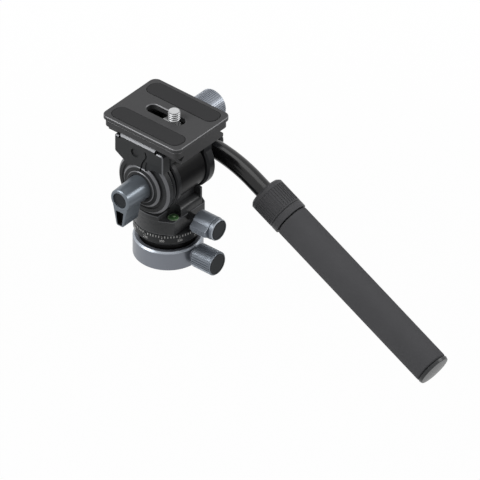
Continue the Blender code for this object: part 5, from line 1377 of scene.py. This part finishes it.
@dataclass
class TiltBarrel(SubAssembly):
    """The glossy barrel of the damping drum and the two rings at its near end."""

    title: ClassVar[str] = "tilt barrel"
    height: float = TILT_HEIGHT
    radius: float = 15.9
    near: float = -6.3
    far: float = 13.2
    wall: float = 3.2
    bore: float = 3.3
    cover_radius: float = 17.1
    cover: Point2 = (-10.3, -6.6)
    drag_radius: float = 16.7
    drag: Point2 = (-13.4, -10.9)
    edge: float = 0.7

    def build(self) -> None:
        """Build the barrel and the rings."""
        at = (0.0, 0.0, self.height)
        inner = self.radius - self.wall
        barrel = Solid.turned(rounded([
            (inner, self.far, 0.1), (self.radius, self.far, 0.5), (self.radius, self.near, 0.15),
            (self.bore, self.near, 0), (self.bore, self.near + 3, 0), (inner, self.near + 3, 0)], 5),
            2 * TURN_STEPS, True)
        barrel.placed(Along.Y, at).piece("gloss_barrel", BLACK_GLOSS, "pan_body", ["tilt_barrel"], Stand.HEAD)
        for name, node, radius, (near, far) in (
                ("barrel_end_cover", "barrel_cover", self.cover_radius, self.cover),
                ("drag_setting_ring", "drag_ring", self.drag_radius, self.drag)):
            ring = Solid.turned([
                (self.bore, near), (self.bore, far), (radius - self.edge, far), (radius, far - self.edge),
                (radius, near + self.edge), (radius - self.edge, near)], 2 * TURN_STEPS, True)
            ring.placed(Along.Y, at).piece(name, BLACK_SATIN, "pan_body", [node], Stand.HEAD)


@dataclass
class TiltLever(SubAssembly):
    """The grey tapered lever on the tilt axle, with its paddle."""

    title: ClassVar[str] = "tilt lock lever"
    root: float = 18.3
    reach: float = 37.4
    height: float = TILT_HEIGHT
    root_radius: float = 7.1
    tip_radius: float = 6.2
    chamfer: float = 0.7
    bore: float = 3.3
    bore_length: float = 10.3
    cap_radius: float = 4.1
    cap_recess: float = 0.6
    paddle_length: float = 12.2
    paddle_drop: float = 16.4
    paddle_tip: float = 4.6
    pocket_width: float = 3.1
    pocket_head: float = 5.2
    pocket_top: float = 7.2
    pocket_depth: float = 3.0
    rim: float = 0.9
    groove_pitch: float = 0.9

    def build(self) -> None:
        """Build the tube, the paddle with its pocket and grooves, and the end disc."""
        at = (0.0, -self.root, self.height)
        length = self.reach - self.root
        floor = length - self.cap_recess - 1.5
        lever = Solid.turned(rounded([
            (0, floor, 0), (self.cap_radius + GAP, floor, 0), (self.cap_radius + GAP, length, 0.1),
            (self.tip_radius - 0.6, length, 0.1), (self.tip_radius, length - 0.6, 0.15),
            (self.root_radius, self.chamfer, 0.15), (self.root_radius - self.chamfer, 0, 0.15),
            (self.bore, 0, 0), (self.bore, self.bore_length, 0), (0, self.bore_length, 0)], 3, False))
        lever.placed(Along.SIDE, at).marked(False)
        top = self.height - 0.55 * self.tip_radius
        foot = self.height - self.paddle_drop
        half = self.paddle_tip / 2
        root_half = 0.8 * self.tip_radius
        paddle = Solid.slab(rounded([
            (-root_half, top, 0), (-half, foot, 1.3), (half, foot, 1.3), (root_half, top, 0)], 6),
            self.reach - self.paddle_length, self.reach - 0.2, 0.35).placed(Along.SIDE).marked(False)
        pocket = Solid.prism(rounded([
            (-self.pocket_width / 2, foot + self.rim, 0.8), (self.pocket_width / 2, foot + self.rim, 0.8),
            (self.pocket_head / 2, self.height - self.pocket_top, 0.5),
            (-self.pocket_head / 2, self.height - self.pocket_top, 0.5)], 5),
            self.reach - self.pocket_depth, self.reach + 1).placed(Along.SIDE)
        # The marked pocket's faces take the near-black finish: painted shade in the pocket
        paddle.cut(pocket.marked())
        grooves = []
        for side in (-1, 1):
            for count in range(1, 5):
                level = foot + self.rim + count * self.groove_pitch
                edge = side * (half + 0.33 * (level - foot) * 0.72)
                grooves.append(Solid.block(
                    (edge - 0.28, -self.reach + self.rim, level - 0.2),
                    (edge + 0.28, -self.reach + self.paddle_length + 1, level + 0.2)))
        paddle.cut(*grooves)
        well = Solid.rod(self.cap_radius + GAP, floor, length + 1).placed(Along.SIDE, at)
        paddle.cut(well)
        lever.joined(paddle)
        lever.piece("grey_lever", GREY_ALONG_Y, "tilt_lock", ["tilt_lever"], Stand.HEAD, POCKET_SHADE_AND_TARGET_BLACK)
        foot = floor + 0.3
        disc = end_disc(self.cap_radius, foot, foot + 1.2, dish=0.1)
        disc.placed(Along.SIDE, at).piece("lever_disc", NYLON, "tilt_lock", ["lever_cap"], Stand.HEAD)


@dataclass
class NearPlate(SubAssembly):
    """The near disc, its shield and the clamp's fixed jaw."""

    title: ClassVar[str] = "near side plate"
    height: float = TILT_HEIGHT
    disc_radius: float = 17.4
    disc_back: float = 13.7
    disc_face: float = 18.0
    disc_bevel: float = 0.7
    bore: float = 4.8
    face: float = 20.0
    left: float = 18.2
    right: float = 14.6
    shoulder: float = 78.0
    lug_top: float = 80.5
    lug_bevel: float = 2.1
    fillet: float = 1.5
    edge: float = 0.55
    hub: tuple[Point2, ...] = (
        (7.4, 18.0), (7.4, 21.0), (8.8, 21.0), (9.2, 20.6), (9.2, 20.3), (11.2, 20.3), (12.4, 19.2),
        (12.4, 18.0),
        (14.1, 18.0), (14.1, 18.4), (16.1, 18.4), (17.4, 17.1))
    groove: tuple[Point2, ...] = (
        (2.6, 75.8), (3.3, 74.0), (3.3, 72.4), (2.2, 70.2), (1.0, 68.0), (0.2, 65.6), (-0.2, 62.5))
    groove_width: float = 0.9
    recess_at: Point2 = (-4.3, 72.2)
    recess_radius: float = 2.6
    left_foot: float = 67.7
    right_foot: float = 66.2
    underside: tuple[Point2, ...] = ((-8.5, 61.9), (-5.0, 64.0), (3.0, 64.0), (8.5, 66.2))
    lug_left: float = 14.7
    lug_right: float = 9.7
    face_cut: float = 0.8
    ledges: tuple[tuple[tuple[Point2, ...], float], ...] = (
        (((3.2, 69.6), (2.6, 64.0), (12.1, 64.0), (12.1, 70.8)), 0.45),
        (((-15.4, 79.0), (-15.4, 76.9), (-14.2, 76.9), (-14.2, 79.0)), 1.2),
        (((9.0, 82.0), (9.0, 77.4), (10.2, 77.4), (10.2, 82.0)), 1.0))
    channel_side: float = 17.1
    channel_floor: float = 76.4
    channel_top: float = 82.0

    def build(self) -> None:
        """Build the plate from its disc and its shield."""
        rim = self.disc_radius - self.disc_bevel
        disc = Solid.turned([
            (self.bore, self.disc_back), (self.bore, self.disc_face), *self.hub,
            (self.disc_radius, self.disc_back + self.disc_bevel),
            (rim, self.disc_back)], 2 * TURN_STEPS, True).placed(Along.SIDE, (0, 0, self.height))
        shield = Solid.slab(rounded([
            (-self.left, self.shoulder, self.fillet / 2), (-self.left, self.left_foot, self.fillet),
            *((x, z, self.fillet) for x, z in self.underside),
            (self.right, self.right_foot, self.fillet / 2), (self.right, self.shoulder, self.fillet),
            (self.lug_right, self.shoulder, 0), (self.lug_right - 0.5, self.lug_top, 0),
            (-self.lug_left, self.lug_top, 0), (-self.lug_left, self.shoulder, 0)], 6),
            self.disc_back, self.face, self.edge)
        shield.placed(Along.SIDE)
        top = self.lug_top
        # The lug's bevel is marked for the paler chamfer finish: a painted highlight along it
        shield.cut(Solid.prism([
            (-self.face - 1, top - self.lug_bevel - 1), (-self.face + self.lug_bevel + 1, top + 1),
            (-self.face - 1, top + 1)], -20, 20).placed(Along.FRONT).marked())
        disc.joined(shield)
        disc.cut(self.channel())
        start, end = self.face - self.face_cut, self.face + 1
        face_cuts = [
            Solid.prism(stroke(smooth_line(self.groove), self.groove_width), start, end),
            Solid.rod(self.recess_radius, start, end).placed(Along.Z, (*self.recess_at, 0)),
            *(Solid.prism(outline, self.face - depth, end) for outline, depth in self.ledges)]
        for cutter in face_cuts:
            disc.cut(cutter.placed(Along.SIDE))
        disc.piece(
            "near_plate_with_jaw", BLACK_BLASTED, "tilt_body", ["near_side_plate"], Stand.HEAD, BLACK_EDGE_HIGHLIGHT)

    def channel(self) -> Solid:
        """Give the cutter of the channel in which the plate's dovetail sits.

        Returns:
            The cutter.
        """
        wide, floor, top = self.channel_side, self.channel_floor, self.channel_top
        knee = FLANK_SUM - wide
        return Solid.prism(
            [(-(wide - (top - knee)), top), (-wide, knee), (-wide, floor), (0, floor), (0, top)], -25, 25,
        ).placed(Along.FRONT)


@dataclass
class FarSide(SubAssembly):
    """The far disc with its arm, and the platform that bridges the two side plates."""

    title: ClassVar[str] = "far side plate and platform"
    height: float = TILT_HEIGHT
    disc_radius: float = 17.4
    near: float = 13.8
    face: float = 19.8
    bevel: float = 1.0
    bore: float = 2.7
    arm_half: float = 14.6
    arm_foot: float = 59.8
    arm_top: float = 69.4
    platform_low: Point3 = (-18.2, -13.4, 69.7)
    platform_high: Point3 = (14.6, 17.1, 76.4)
    arch_radius: float = 17.7
    clamp_at: Point2 = (-0.8, 73.5)
    pin_spacing: float = 19.0

    def build(self) -> None:
        """Build the far plate, then the platform."""
        rim = self.disc_radius - self.bevel
        plate = Solid.turned([
            (self.bore, self.face), (self.bore, self.near), (rim, self.near),
            (self.disc_radius, self.near + self.bevel), (self.disc_radius, self.face - self.bevel),
            (rim, self.face)], 2 * TURN_STEPS, True)
        plate.placed(Along.Y, (0, 0, self.height))
        arm = Solid.slab([
            (-self.arm_half, self.arm_foot), (self.arm_half, self.arm_foot), (self.arm_half, self.arm_top),
            (-self.arm_half, self.arm_top)], -self.face + 0.02, -self.near - 0.02, 0.4).placed(Along.SIDE)
        plate.joined(arm)
        plate.piece("far_plate_with_arm", BLACK_SATIN, "tilt_body", ["far_side_plate"], Stand.HEAD)

        deck = Solid.block(self.platform_low, self.platform_high).bevelled(0.5)
        arch = Solid.rod(self.arch_radius, -18.0, 20.0, 0).placed(Along.Y, (0, 0, self.height))
        deck.cut(arch)
        x, z = self.clamp_at
        for radius, at, start in (
                (CLAMP_SCREW_HOLE, x, -10.0), (GUIDE_PIN_HOLE, x + self.pin_spacing / 2, 8.8),
                (GUIDE_PIN_HOLE, x - self.pin_spacing / 2, 8.8)):
            deck.cut(Solid.rod(radius, start, 20.0, 0, SMALL_TURN_STEPS).placed(Along.Y, (at, 0, z)))
        deck.piece("clamp_platform", BLACK_BLASTED, "tilt_body", ["platform"], Stand.HEAD)


@dataclass
class Clamp(SubAssembly):
    """The sliding jaw of the quick-release clamp and its knurled knob."""

    title: ClassVar[str] = "quick-release clamp"
    x: float = -0.8
    axis: float = 73.5
    near: float = 17.5
    far: float = 22.1
    foot: float = 70.9
    top: float = 80.5
    half: float = 15.0
    bevel: float = 1.4
    pin_spacing: float = 19.0
    collar_radius: float = 7.0
    collar_length: float = 4.2
    knob: KnurledKnob = KnurledKnob(radius=8.4, length=12.8, knurls=48, cap_radius=7.5, bore=2.2)

    def build(self) -> None:
        """Build the jaw, the collar, the knob and its end disc."""
        knee = FLANK_SUM - self.near
        lip = self.near - (self.top - knee)
        jaw = Solid.slab([
            (self.near, self.foot), (self.far, self.foot), (self.far, self.top - self.bevel),
            (self.far - self.bevel, self.top), (lip, self.top), (self.near, knee)],
            self.x - self.half, self.x + self.half, 0.3).placed(Along.FRONT)
        for radius, at in (
                (CLAMP_SCREW_HOLE, self.x), (GUIDE_PIN_HOLE, self.x + self.pin_spacing / 2),
                (GUIDE_PIN_HOLE, self.x - self.pin_spacing / 2)):
            jaw.cut(Solid.rod(radius, 10, 30, 0, SMALL_TURN_STEPS).placed(Along.Y, (at, 0, self.axis)))
        jaw.piece("sliding_jaw", BLACK_BLASTED, "jaw", ["clamp_jaw"], Stand.HEAD, BLACK_EDGE_HIGHLIGHT)
        start = self.far + GAP
        collar = Solid.turned(rounded([
            (CLAMP_SCREW_HOLE, 0, 0), (self.collar_radius, 0, 0.3),
            (self.collar_radius, self.collar_length, 0.3), (CLAMP_SCREW_HOLE, self.collar_length, 0)], 4),
            TURN_STEPS, True)
        collar.placed(Along.Y, (self.x, start, self.axis)).piece(
            "knob_collar", GREY_CLAMP, "clamp_lock", ["clamp_collar"], Stand.HEAD)
        at = (self.x, start + self.collar_length + GAP, self.axis)
        self.knob.body(GREY_CLAMP).placed(Along.Y, at).piece(
            "clamp_knob_body", GREY_CLAMP, "clamp_lock", ["clamp_knob"], Stand.HEAD, GREY_EDGE_HIGHLIGHT)
        self.knob.cap().placed(Along.Y, at).piece(
            "clamp_knob_disc", NYLON, "clamp_lock", ["clamp_knob_cap"], Stand.HEAD)


@dataclass
class CameraPlate(SubAssembly):
    """The quick-release plate with its slot, its two rubber pads and its dovetail."""

    title: ClassVar[str] = "quick-release plate"
    length: float = 52.6
    width: float = 43.8
    corner: float = 4.2
    top: float = 88.0
    slab: float = 2.5
    bevel: float = 0.35
    groove_height: float = 0.7
    groove_depth: float = 1.6
    lower_inset: float = 1.2
    lower_foot: float = 80.9
    dovetail_top: float = 14.4
    dovetail_half: float = 16.8
    dovetail_foot: float = 76.7
    dovetail_inset: float = 1.5
    roof: float = 3.2
    slot_length: float = 24.6
    slot_width: float = 7.0
    pocket_length: float = 40.0
    pocket_width: float = 18.0
    pad_length: float = 46.2
    pad_width: float = 10.1
    pad_corner: float = 4.4
    pad_offset: float = 14.1
    pad_thickness: float = 1.2
    pad_proud: float = 0.3
    margin: float = 0.3

    def build(self) -> None:
        """Build the plate and its pads."""
        underside = self.top - self.slab
        plate = Solid.slab(
            rectangle(self.length, self.width, self.corner, 12), underside, self.top, self.bevel)
        waist = Solid.prism(
            rectangle(self.length - 2 * self.groove_depth, self.width - 2 * self.groove_depth,
                      self.corner - self.groove_depth), underside - self.groove_height - 0.2, underside + 0.2)
        narrower = 2 * self.lower_inset
        lower = Solid.slab(
            rectangle(self.length - narrower, self.width - narrower, self.corner - self.lower_inset),
            self.lower_foot, underside - self.groove_height, 0.3)
        flank = self.lower_foot - (self.dovetail_half - self.dovetail_top)
        end = self.length / 2 - self.dovetail_inset
        tail = Solid.prism([
            (-self.dovetail_top, self.lower_foot + 0.3), (-self.dovetail_top, self.lower_foot),
            (-self.dovetail_half, flank), (-self.dovetail_half, self.dovetail_foot),
            (self.dovetail_half, self.dovetail_foot), (self.dovetail_half, flank),
            (self.dovetail_top, self.lower_foot), (self.dovetail_top, self.lower_foot + 0.3)],
            -end, end).placed(Along.FRONT)
        for part in (waist, lower, tail):
            plate.joined(part)
        ceiling = self.top - self.roof
        plate.cut(Solid.prism(
            rectangle(self.pocket_length, self.pocket_width, 0.3 * self.pocket_width),
            self.dovetail_foot - 1, ceiling))
        corner = 0.49 * self.slot_width
        plate.cut(
            Solid.prism(rectangle(self.slot_length, self.slot_width, corner, 12), ceiling - 1, self.top + 1))
        plate.cut(Solid.lofted([
            (rectangle(self.slot_length, self.slot_width, corner, 12), self.top - 0.45),
            (rectangle(self.slot_length + 1.1, self.slot_width + 1.1, corner + 0.55, 12), self.top + 0.1)]))
        floor = self.top - (self.pad_thickness - self.pad_proud + GAP)
        for name, side in (("near", -1), ("far", 1)):
            place = (0, side * self.pad_offset, 0)
            seat = rectangle(
                self.pad_length + 2 * self.margin, self.pad_width + 2 * self.margin,
                self.pad_corner + self.margin, 12)
            plate.cut(Solid.prism(seat, floor, self.top + 1).placed(Along.Z, place))
            pad = Solid.slab(
                rectangle(self.pad_length, self.pad_width, self.pad_corner, 12), floor + GAP,
                floor + GAP + self.pad_thickness, 0.25)
            pad.placed(
                Along.Z, place).piece(f"rubber_pad_{name}", RUBBER, "plate", [f"pad_{name}"], Stand.HEAD)
        plate.piece("camera_plate", BLACK_PLATE, "plate", ["plate_body"], Stand.HEAD, PLATE_EDGE_HIGHLIGHT)


@dataclass
class CameraScrew(SubAssembly):
    """The bright camera screw, which spins in a washer that slides under the slot."""

    title: ClassVar[str] = "camera screw"
    x: float = 5.6
    ceiling: float = 84.8
    radius: float = 3.175
    pitch: float = 1.27
    neck: float = 2.6
    tip: float = 93.0
    thread_foot: float = 87.6
    flange_radius: float = 6.0
    flange_thickness: float = 1.2
    washer_radius: float = 7.6
    washer_thickness: float = 0.6

    def build(self) -> None:
        """Build the screw and its washer."""
        washer_top = self.ceiling - GAP
        washer_foot = washer_top - self.washer_thickness
        washer = Solid.turned(rounded([
            (self.radius + GAP, washer_top, 0.08), (self.washer_radius, washer_top, 0.12),
            (self.washer_radius, washer_foot, 0.12),
            (self.radius + GAP, washer_foot, 0.08)], 2), TURN_STEPS, True)
        washer.placed(Along.Z, (self.x, 0, 0)).piece(
            "bright_washer", STEEL, "slot_washer", ["screw_washer"], Stand.HEAD)
        flange_top = washer_foot - GAP
        flange_foot = flange_top - self.flange_thickness
        screw = Thread(self.radius, self.pitch, self.thread_foot, self.tip, 0.4, 0.34).solid()
        stem = Solid.turned(rounded([
            (0, self.thread_foot + 0.6, 0), (self.neck - 0.2, self.thread_foot + 0.6, 0),
            (self.neck, self.thread_foot + 0.1, 0), (self.neck, flange_top, 0.1),
            (self.flange_radius, flange_top, 0.15), (self.flange_radius, flange_foot, 0.2),
            (0, flange_foot, 0)],
            3, False))
        screw.joined(stem)
        screw.cut(Solid.block(
            (-7, -0.5, flange_foot - 1), (7, 0.5, flange_foot + self.flange_thickness / 2)))
        screw.placed(Along.Z, (self.x, 0, 0)).piece(
            "threaded_camera_screw", SCREW_STEEL, "mounting_screw", ["camera_screw"], Stand.HEAD, THREAD_ROOT_SHADE)


@dataclass
class HandleJoint(SubAssembly):
    """The rosettes that set the handle's angle, the knob behind them and the bent tube."""

    title: ClassVar[str] = "handle"
    y: float = 30.7
    height: float = TILT_HEIGHT
    plate_face: float = 19.8
    rosette_radius: float = 7.2
    split: float = 22.2
    eye_radius: float = 6.8
    eye_half: float = 5.0
    bore: float = 2.7
    tube_radius: float = 5.0
    level_run: float = 2.0
    bend_radius: float = 69.5
    bend_steps: int = 28
    straight: float = 112.0
    knob_radius: float = 6.4
    knob_thickness: float = 4.0

    def build(self) -> None:
        """Build the rosettes, the tube with its eye, and the clamp knob."""
        at = (0.0, 0.0, self.height)
        for name, node, body, near, far in (
                ("toothed_face_fixed", "rosette_fixed", "tilt_body", self.plate_face + GAP, self.split),
                ("toothed_face_moving", "rosette_handle", "handle", self.split + GAP,
                    self.y - self.eye_half - GAP)):
            ring = Solid.turned(rounded([
                (self.bore, near, 0), (self.bore, far, 0), (self.rosette_radius, far, 0.3),
                (self.rosette_radius, near, 0.3)], 4), SMALL_TURN_STEPS * 2, True).placed(Along.Y, at)
            ring.piece(name, BLACK_SATIN, body, [node], Stand.HEAD)
        path = [(0, self.y, self.height), (self.level_run, self.y, self.height)]
        for i in range(1, self.bend_steps + 1):
            angle = DROP_ANGLE * i / self.bend_steps
            path.append((
                self.level_run + self.bend_radius * math.sin(angle), self.y,
                self.height - self.bend_radius * (1 - math.cos(angle))))
        bend = path[-1]
        path.append((
            bend[0] + self.straight * math.cos(DROP_ANGLE), self.y,
            bend[2] - self.straight * math.sin(DROP_ANGLE)))
        tube = Solid.swept(path, self.tube_radius, 64)
        eye = Solid.turned(rounded([
            (0, self.y + self.eye_half, 0), (self.eye_radius, self.y + self.eye_half, 1.5),
            (self.eye_radius, self.y - self.eye_half, 1.5), (0, self.y - self.eye_half, 0)], 6, False))
        tube.joined(eye.placed(Along.Y, at))
        tube.cut(Solid.rod(self.bore, self.y - 8, self.y + 8, 0, SMALL_TURN_STEPS).placed(Along.Y, at))
        tube.piece("bent_gloss_tube", BLACK_TUBE, "handle", ["handle_tube"], Stand.HEAD)
        near = self.y + self.eye_half + GAP
        far = near + self.knob_thickness
        knob = Solid.turned(rounded([
            (0, far, 0), (self.knob_radius, far - 0.9, 1.0), (self.knob_radius, near, 0.3),
            (self.bore, near, 0),
            (self.bore, near + 0.6, 0), (0, near + 0.6, 0)], 6, False))
        knob.placed(Along.Y, at).piece(
            "round_handle_knob", BLACK_SATIN, "handle_lock", ["handle_clamp_knob"], Stand.HEAD)


@dataclass
class Grip(SubAssembly):
    """The sliding grip: a ribbed collar, a foam sleeve and an end cap."""

    title: ClassVar[str] = "telescopic grip"
    at: Point3 = (34.414, 30.7, 44.978)
    tube_radius: float = 5.0
    collar_start: float = 8.1
    collar_length: float = 20.0
    collar_radius: float = 10.15
    collar_chamfer: float = 1.3
    collar_bore: float = 7.0
    collar_lip: float = 2.2
    ribs: int = 40
    rib_depth: float = 0.35
    ribs_from: float = 3.0
    ribs_to: float = 15.0
    groove: Point2 = (15.6, 16.3)
    foam: Point2 = (28.4, 136.9)
    foam_radius: float = 9.5
    foam_edge: float = 1.2
    liner_radius: float = 6.7
    cap: Point2 = (137.2, 139.6)
    cap_radius: float = 9.6
    cap_dome: float = 0.6
    plug_radius: float = 5.4
    plug_start: float = 127.3

    def build(self) -> None:
        """Build the collar, the foam and the end cap."""
        radius, length = self.collar_radius, self.collar_length
        low = radius - self.rib_depth
        collar = Solid.turned(rounded([
            (self.tube_radius + GAP, 0, 0.15), (radius - self.collar_chamfer, 0, 0.4),
            (radius, self.collar_chamfer, 0.4), (radius, self.ribs_from, 0.12),
            (low, self.ribs_from + 0.25, 0),
            (low, self.ribs_to - 0.25, 0), (radius, self.ribs_to, 0.12), (radius, self.groove[0], 0.12),
            (radius - 0.5, self.groove[0] + 0.15, 0), (radius - 0.5, self.groove[1] - 0.15, 0),
            (radius, self.groove[1], 0.12), (radius, length, 0.35), (self.collar_bore, length, 0.1),
            (self.collar_bore, self.collar_lip, 0), (self.tube_radius + GAP, self.collar_lip, 0)], 3),
            2 * TURN_STEPS, True)
        ring = Ring(
            self.ribs, low, 2 * self.rib_depth, math.pi * radius / self.ribs, self.ribs_to - self.ribs_from,
            0.6)
        bars = ring.solid(COLLAR_NYLON).placed(Along.Z, (0, 0, (self.ribs_from + self.ribs_to) / 2))
        bars.bevelled(0.08, 1)
        collar.beside(bars)
        along = (self.at[0] + self.collar_start * math.cos(DROP_ANGLE), self.at[1],
                 self.at[2] - self.collar_start * math.sin(DROP_ANGLE))
        collar.placed(Along.HANDLE, along).piece(
            "ribbed_collar", COLLAR_NYLON, "grip_collar", ["twist_collar"], Stand.HEAD)
        profile = rounded([
            (self.liner_radius + GAP, self.foam[0], 0.3), (self.foam_radius, self.foam[0], self.foam_edge),
            (self.foam_radius, self.foam[1], self.foam_edge),
            (self.liner_radius + GAP, self.foam[1], 0.3)], 6)
        foam = Solid.turned(profile, TURN_STEPS, True).placed(Along.HANDLE, self.at)
        sleeve = foam.piece("foam_sleeve", FOAM, "grip", ["foam_grip"], Stand.HEAD)
        start, end = self.cap
        cap = Solid.turned(rounded([
            (0, end, 0), (self.cap_radius - 0.4, end - self.cap_dome, 0.5), (self.cap_radius, start, 0.15),
            (self.plug_radius, start, 0), (self.plug_radius, self.plug_start, 0.3), (0, self.plug_start, 0)],
            5, False))
        cap.placed(Along.HANDLE, self.at).piece("gloss_end_cap", BLACK_LIGHTENED, "grip", ["end_cap"], Stand.HEAD)


def dress_hidden_nodes() -> None:
    """Give the solids that stay as they are the finish of their material slot."""
    slots = {part["node"]: part["material_slot"] for part in frame["record"]["subparts"]}
    for name, node in frame["nodes"].items():
        node.data.materials.clear()
        node.data.materials.append(NODE_FINISHES[slots[name]].material())


# Studio


@dataclass(frozen=True)
class Lamp:
    """A soft rectangular lamp; its place is a direction and a distance from the head, in metres."""

    name: str
    direction: Point3
    distance: float
    size: Point2
    watts: float


@dataclass
class Studio:
    """Pale floor, soft lamps, plain world and the camera."""

    lamps: tuple[Lamp, ...] = (
        Lamp("Key light", (-0.45, -0.62, 0.64), 1.0, (0.55, 0.55), 7.0),
        Lamp("Overhead light", (0.0, 0.0, 1.0), 1.0, (0.8, 0.8), 4.0),
        Lamp("Rear strip light", (0.62, 0.62, 0.47), 0.9, (0.5, 0.2), 2.8),
        Lamp("Side strip light", (0.96, -0.13, 0.27), 1.0, (0.07, 0.4), 0.7),
    )
    target: Point3 = (0.05, 0.0, 0.045)
    ambient: float = 0.14
    floor_height: float = -0.19
    floor_radius: float = 1.6
    floor_colour: str = "f4f4f4"
    floor_glow: float = 0.95
    fade: Point2 = (0.25, 0.6)
    azimuth: float = 40.4
    elevation: float = 35.7
    pixel: float = 0.52
    pan_axis_pixel: Point2 = (168.1, 250.35)
    frame_pixels: int = 480
    camera_distance: float = 2.0

    def build(self) -> None:
        """Set the world, the floor, the lamps and the camera."""
        bpy.context.scene.view_settings.view_transform = "Standard"
        self.world()
        self.floor()
        for lamp in self.lamps:
            self.hang(lamp)
        self.camera()

    @staticmethod
    def seen_directly(tree: bpy.types.NodeTree) -> bpy.types.NodeSocket:
        """Give 1 for camera, mirror and glass rays, and 0 for the rest.

        Args:
            tree: The node tree.

        Returns:
            The socket of the value.
        """
        rays = add_node(tree, "ShaderNodeLightPath").outputs
        first = add_node(
            tree, "ShaderNodeMath", {"operation": "MAXIMUM"},
            {0: rays["Is Camera Ray"], 1: rays["Is Glossy Ray"]})
        both = add_node(
            tree, "ShaderNodeMath", {"operation": "MAXIMUM"},
            {0: first.outputs[0], 1: rays["Is Transmission Ray"]})
        return both.outputs[0]

    def world(self) -> None:
        """Make a world that lights softly and shows white."""
        world = bpy.data.worlds.new("White room")
        tree = empty_tree(world)
        soft = add_node(tree, "ShaderNodeBackground", {"Color": (1, 1, 1, 1), "Strength": self.ambient})
        white = add_node(tree, "ShaderNodeBackground", {"Color": (1, 1, 1, 1), "Strength": 1.0})
        mixed = add_node(
            tree, "ShaderNodeMixShader", None,
            {0: self.seen_directly(tree), 1: soft.outputs[0], 2: white.outputs[0]})
        add_node(tree, "ShaderNodeOutputWorld", None, {"Surface": mixed.outputs[0]})
        bpy.context.scene.world = world

    def floor(self) -> None:
        """Lay a pale round floor that turns plain white away from the head."""
        shape = bmesh.new()
        bmesh.ops.create_circle(shape, cap_ends=True, radius=self.floor_radius, segments=96)
        bmesh.ops.translate(shape, vec=(self.target[0], 0, self.floor_height), verts=shape.verts)
        mesh = bpy.data.meshes.new("studio_floor")
        shape.to_mesh(mesh)
        shape.free()
        floor = bpy.data.objects.new("studio_floor", mesh)
        bpy.context.scene.collection.objects.link(floor)
        material = bpy.data.materials.new("Painted studio floor")
        tree = empty_tree(material)
        place = add_node(tree, "ShaderNodeTexCoord").outputs["Object"]
        away = add_node(
            tree, "ShaderNodeVectorMath",
            {"operation": "DISTANCE", 1: (self.target[0], 0, self.floor_height)},
            {0: place})
        far = add_node(
            tree, "ShaderNodeMapRange",
            {"interpolation_type": "SMOOTHSTEP", "From Min": self.fade[0], "From Max": self.fade[1],
             "To Min": self.floor_glow},
            {"Value": away.outputs["Value"]})
        share = add_node(
            tree, "ShaderNodeMath", {"operation": "MULTIPLY"},
            {0: far.outputs[0], 1: self.seen_directly(tree)})
        paint = add_node(tree, "ShaderNodeBsdfDiffuse", {"Color": linear(self.floor_colour)})
        white = add_node(tree, "ShaderNodeEmission", {"Color": (1, 1, 1, 1), "Strength": 1.0})
        mixed = add_node(
            tree, "ShaderNodeMixShader", None,
            {0: share.outputs[0], 1: paint.outputs[0], 2: white.outputs[0]})
        add_node(tree, "ShaderNodeOutputMaterial", None, {"Surface": mixed.outputs[0]})
        mesh.materials.append(material)

    def hang(self, lamp: Lamp) -> None:
        """Hang a lamp so that it faces the head.

        Args:
            lamp: The lamp.
        """
        light = bpy.data.lights.new(lamp.name, "AREA")
        light.shape = "RECTANGLE"
        light.size, light.size_y = lamp.size
        light.energy = lamp.watts
        holder = bpy.data.objects.new(lamp.name, light)
        direction = Vector(lamp.direction).normalized()
        holder.location = Vector(self.target) + direction * lamp.distance
        holder.rotation_euler = direction.to_track_quat("Z", "Y").to_euler()
        bpy.context.scene.collection.objects.link(holder)

    def camera(self) -> None:
        """Set the camera at the photograph's angle and frame."""
        azimuth, elevation = math.radians(self.azimuth), math.radians(self.elevation)
        right = Vector((math.cos(azimuth), math.sin(azimuth), 0))
        back = Vector((
            math.sin(azimuth) * math.cos(elevation), -math.cos(azimuth) * math.cos(elevation),
            math.sin(elevation)))
        up = back.cross(right)
        middle = self.frame_pixels / 2
        aim = right * (middle - self.pan_axis_pixel[0]) + up * (self.pan_axis_pixel[1] - middle)
        aim *= self.pixel * MM
        data = bpy.data.cameras.new("Camera")
        data.type = "ORTHO"
        data.ortho_scale = self.frame_pixels * self.pixel * MM
        camera = bpy.data.objects.new("Camera", data)
        turn = Matrix((right, up, back)).transposed().to_4x4()
        camera.matrix_world = Matrix.Translation(aim + back * self.camera_distance) @ turn
        bpy.context.scene.collection.objects.link(camera)
        bpy.context.scene.camera = camera


def main() -> None:
    """Dress the head, then set the studio round it."""
    logging.basicConfig(level=logging.INFO, format="%(message)s")
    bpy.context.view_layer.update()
    dress_hidden_nodes()
    for part in (
            LevellingBase(), LevelKnob(), LevellingBall(), PanScale(), PanHousing(), PanKnob(), TiltBarrel(),
            TiltLever(), NearPlate(), FarSide(), Clamp(), CameraPlate(), CameraScrew(), HandleJoint(),
            Grip()):
        log.info("%s", part.title)
        part.build()
    Studio().build()


if __name__ == "__main__":
    main()
